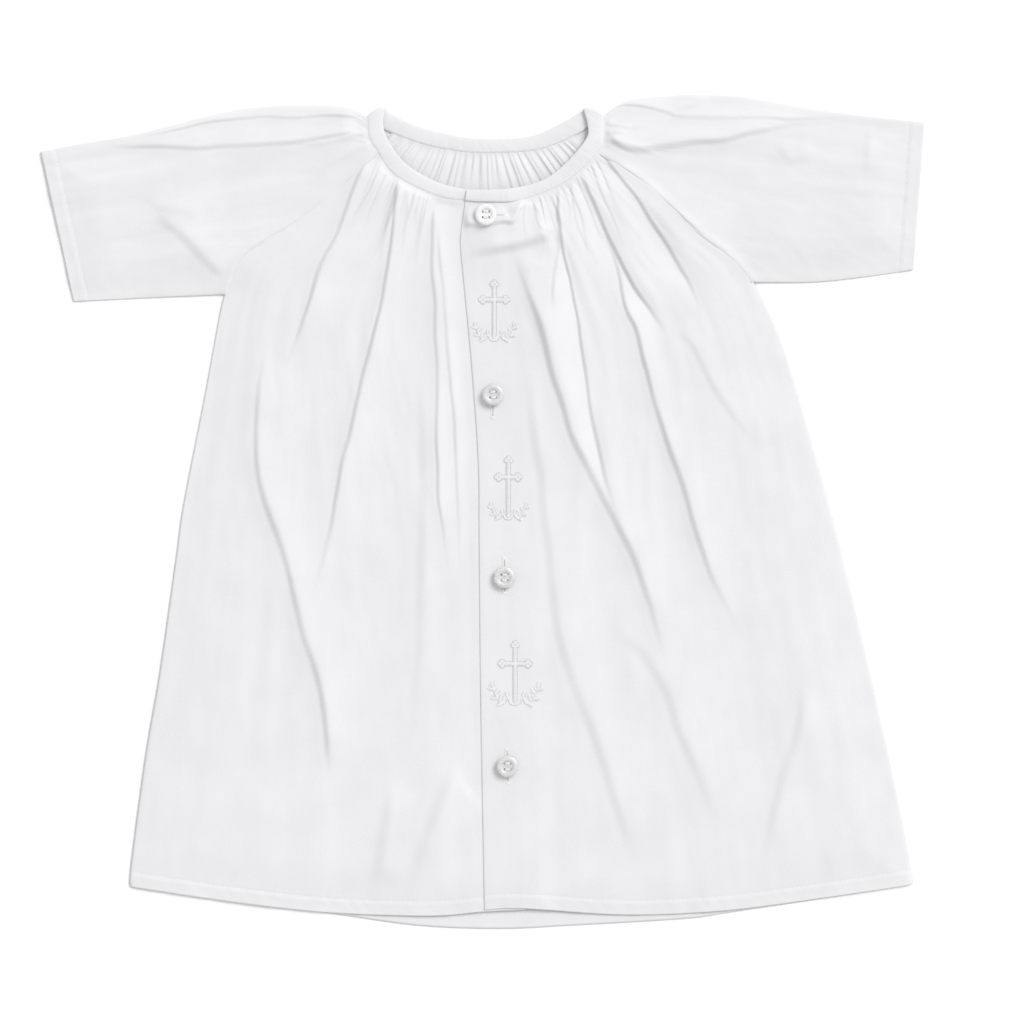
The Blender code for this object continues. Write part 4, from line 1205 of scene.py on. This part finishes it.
def buttonholePiece(number, tree):
    look = buttonholeLook
    x, y, half, angle = look["places"][number]
    runX, runY = math.sin(math.radians(angle)), math.cos(math.radians(angle))
    bars = bmesh.new()

    def bar(along, near, far, radius, lift):
        # A stitch across the slit, from one distance beside it to another
        laidStitch(bars, tree, x + runX * along - runY * near, y + runY * along + runX * near,
                   x + runX * along - runY * far, y + runY * along + runX * far, radius, lift)

    count = round(2.0 * half / look["pitch"])
    for index in range(count + 1):
        for side in (-1.0, 1.0):
            bar(blend(-half, half, index / count), side * look["inner"], side * look["outer"],
                look["barRadius"], look["barLift"])
    for end in (-1.0, 1.0):
        for index in range(look["endBars"]):
            bar(end * (half + look["endStart"] + look["endPitch"] * index), look["endHalf"],
                -look["endHalf"], look["endRadius"], look["endLift"])
    threadPiece("buttonhole%d" % (number + 1), bars, thread)
    # a dark strip of stitches along the slit paints the shade inside it
    slit = bmesh.new()
    slitLine = Curve(((x - runX * half, y - runY * half), (x, y), (x + runX * half, y + runY * half)))
    stitchRow(slit, tree, slitLine, 0.0, 0.02, 0.98, 1.0, 1.15, look["slitRadius"],
              -look["slitSink"])
    threadPiece("buttonholeSlit%d" % (number + 1), slit, slitPaintedShade)


tieLook = {                    # thread through the buttons, in mm
    "strands": (-0.34, 0.0, 0.34), "radius": 0.21,
    # Height over the dish at shares of the way from hole to hole
    "heights": ((-1.0, -0.74), (-0.72, 0.21), (0.0, 0.38), (0.72, 0.21), (1.0, -0.74)),
    "turns": (0.0, 8.0, -6.0, 4.0),
}


def buttonThread(number, centre, base):
    # Two bars of thread across the dish, each of three strands that dip into the holes
    shape = bmesh.new()
    spacing = buttonLook["holeSpacing"]
    turn = math.radians(tieLook["turns"][number - 1])
    for side in (-1.0, 1.0):
        for strand in tieLook["strands"]:
            places = []
            for share, lift in tieLook["heights"]:
                localX = share * spacing
                localY = side * spacing + strand
                places.append(Vector((
                    (centre[0] + localX * math.cos(turn) - localY * math.sin(turn)) * mm,
                    (centre[1] + localX * math.sin(turn) + localY * math.cos(turn)) * mm,
                    base + (buttonLook["dishHeight"] + lift) * mm)))
            for start, end in zip(places, places[1:]):
                addStitch(shape, start, end, tieLook["radius"])
    threadPiece("buttonThread%d" % number, shape, thread)


print("sewing")
thread = threadMaterial("sewingThread", sewLook["colour"])
silkThread = threadMaterial("embroideryThread", sewLook["satinColour"])
# grey thread for the motif outlines, a painted shade
paintedShadeThread = threadMaterial("paintedShadeOutlineThread", sewLook["paintedShadeColour"])
# dark thread for the buttonhole slits, a painted shade
slitPaintedShade = threadMaterial("buttonholeInside", sewLook["slitPaintedShadeColour"])
overSurface = surfaceTree(frontRight)
bindingSurface = surfaceTree(binding)
runningStitches("hemStitching", (
    (surfaceTree(frontLeft), left.hem, sewLook["hemInset"], 0.012, 0.885),
    (overSurface, right.hem, sewLook["hemInset"], 0.006, 0.99),
    (surfaceTree(back), hemBack, sewLook["hemInset"], 0.01, 0.99),
    (surfaceTree(sleeveLeft), left.cuff, sewLook["cuffInset"], 0.03, 0.975),
    (surfaceTree(sleeveRight), right.cuff, -sewLook["cuffInset"], 0.03, 0.975)))
runningStitches("bindingStitching", (
    (bindingSurface, seamFront, sewLook["bindingInset"], 0.03, 0.97),
    (bindingSurface, seamBack, sewLook["bindingInset"], 0.05, 0.95)))
for number in range(3):
    motifPiece(number, overSurface)
for number in range(4):
    buttonholePiece(number, overSurface)
    buttonThread(number + 1, buttonCentres[number], buttonBases[number])

print("stage")
stageLook = {
    "floor": (0.93, 0.93, 0.93, 1.0),
    "world": 0.68,
    "keyStrength": 1.88,
    "keyFrom": (0.82, 0.78, 1.24),
    "keyAngle": 30.0,
    "cameraHeight": 1.479,
    "cameraAcross": 0.0153,
    "lens": 100.0,
}


def stageScene():
    look = stageLook
    shape = bmesh.new()
    bmesh.ops.create_grid(shape, x_segments=1, y_segments=1, size=4.0)
    floorMaterial = bpy.data.materials.new("floorWhite")
    floorMaterial.use_nodes = True
    fillSockets(floorMaterial.node_tree, floorMaterial.node_tree.nodes["Principled BSDF"], {
        "Base Color": look["floor"], "Roughness": 0.9, "Specular IOR Level": 0.0})
    newPiece("floor", shape, floorMaterial)
    world = bpy.data.worlds.new("softWorld")
    world.use_nodes = True
    fillSockets(world.node_tree, world.node_tree.nodes["Background"], {
        "Color": (1.0, 1.0, 1.0, 1.0), "Strength": look["world"]})
    bpy.context.scene.world = world
    key = bpy.data.lights.new("key", "SUN")
    key.energy = look["keyStrength"]
    key.angle = math.radians(look["keyAngle"])
    keyObject = bpy.data.objects.new("key", key)
    keyObject.location = look["keyFrom"]
    keyObject.rotation_euler = (-Vector(look["keyFrom"])).to_track_quat("-Z", "Y").to_euler()
    bpy.context.scene.collection.objects.link(keyObject)
    camera = bpy.data.cameras.new("camera")
    camera.lens = look["lens"]
    camera.sensor_width = 36.0
    cameraObject = bpy.data.objects.new("camera", camera)
    cameraObject.location = (look["cameraAcross"], 0.0, look["cameraHeight"])
    bpy.context.scene.collection.objects.link(cameraObject)
    bpy.context.scene.camera = cameraObject
    bpy.context.scene.view_settings.view_transform = "Standard"


stageScene()
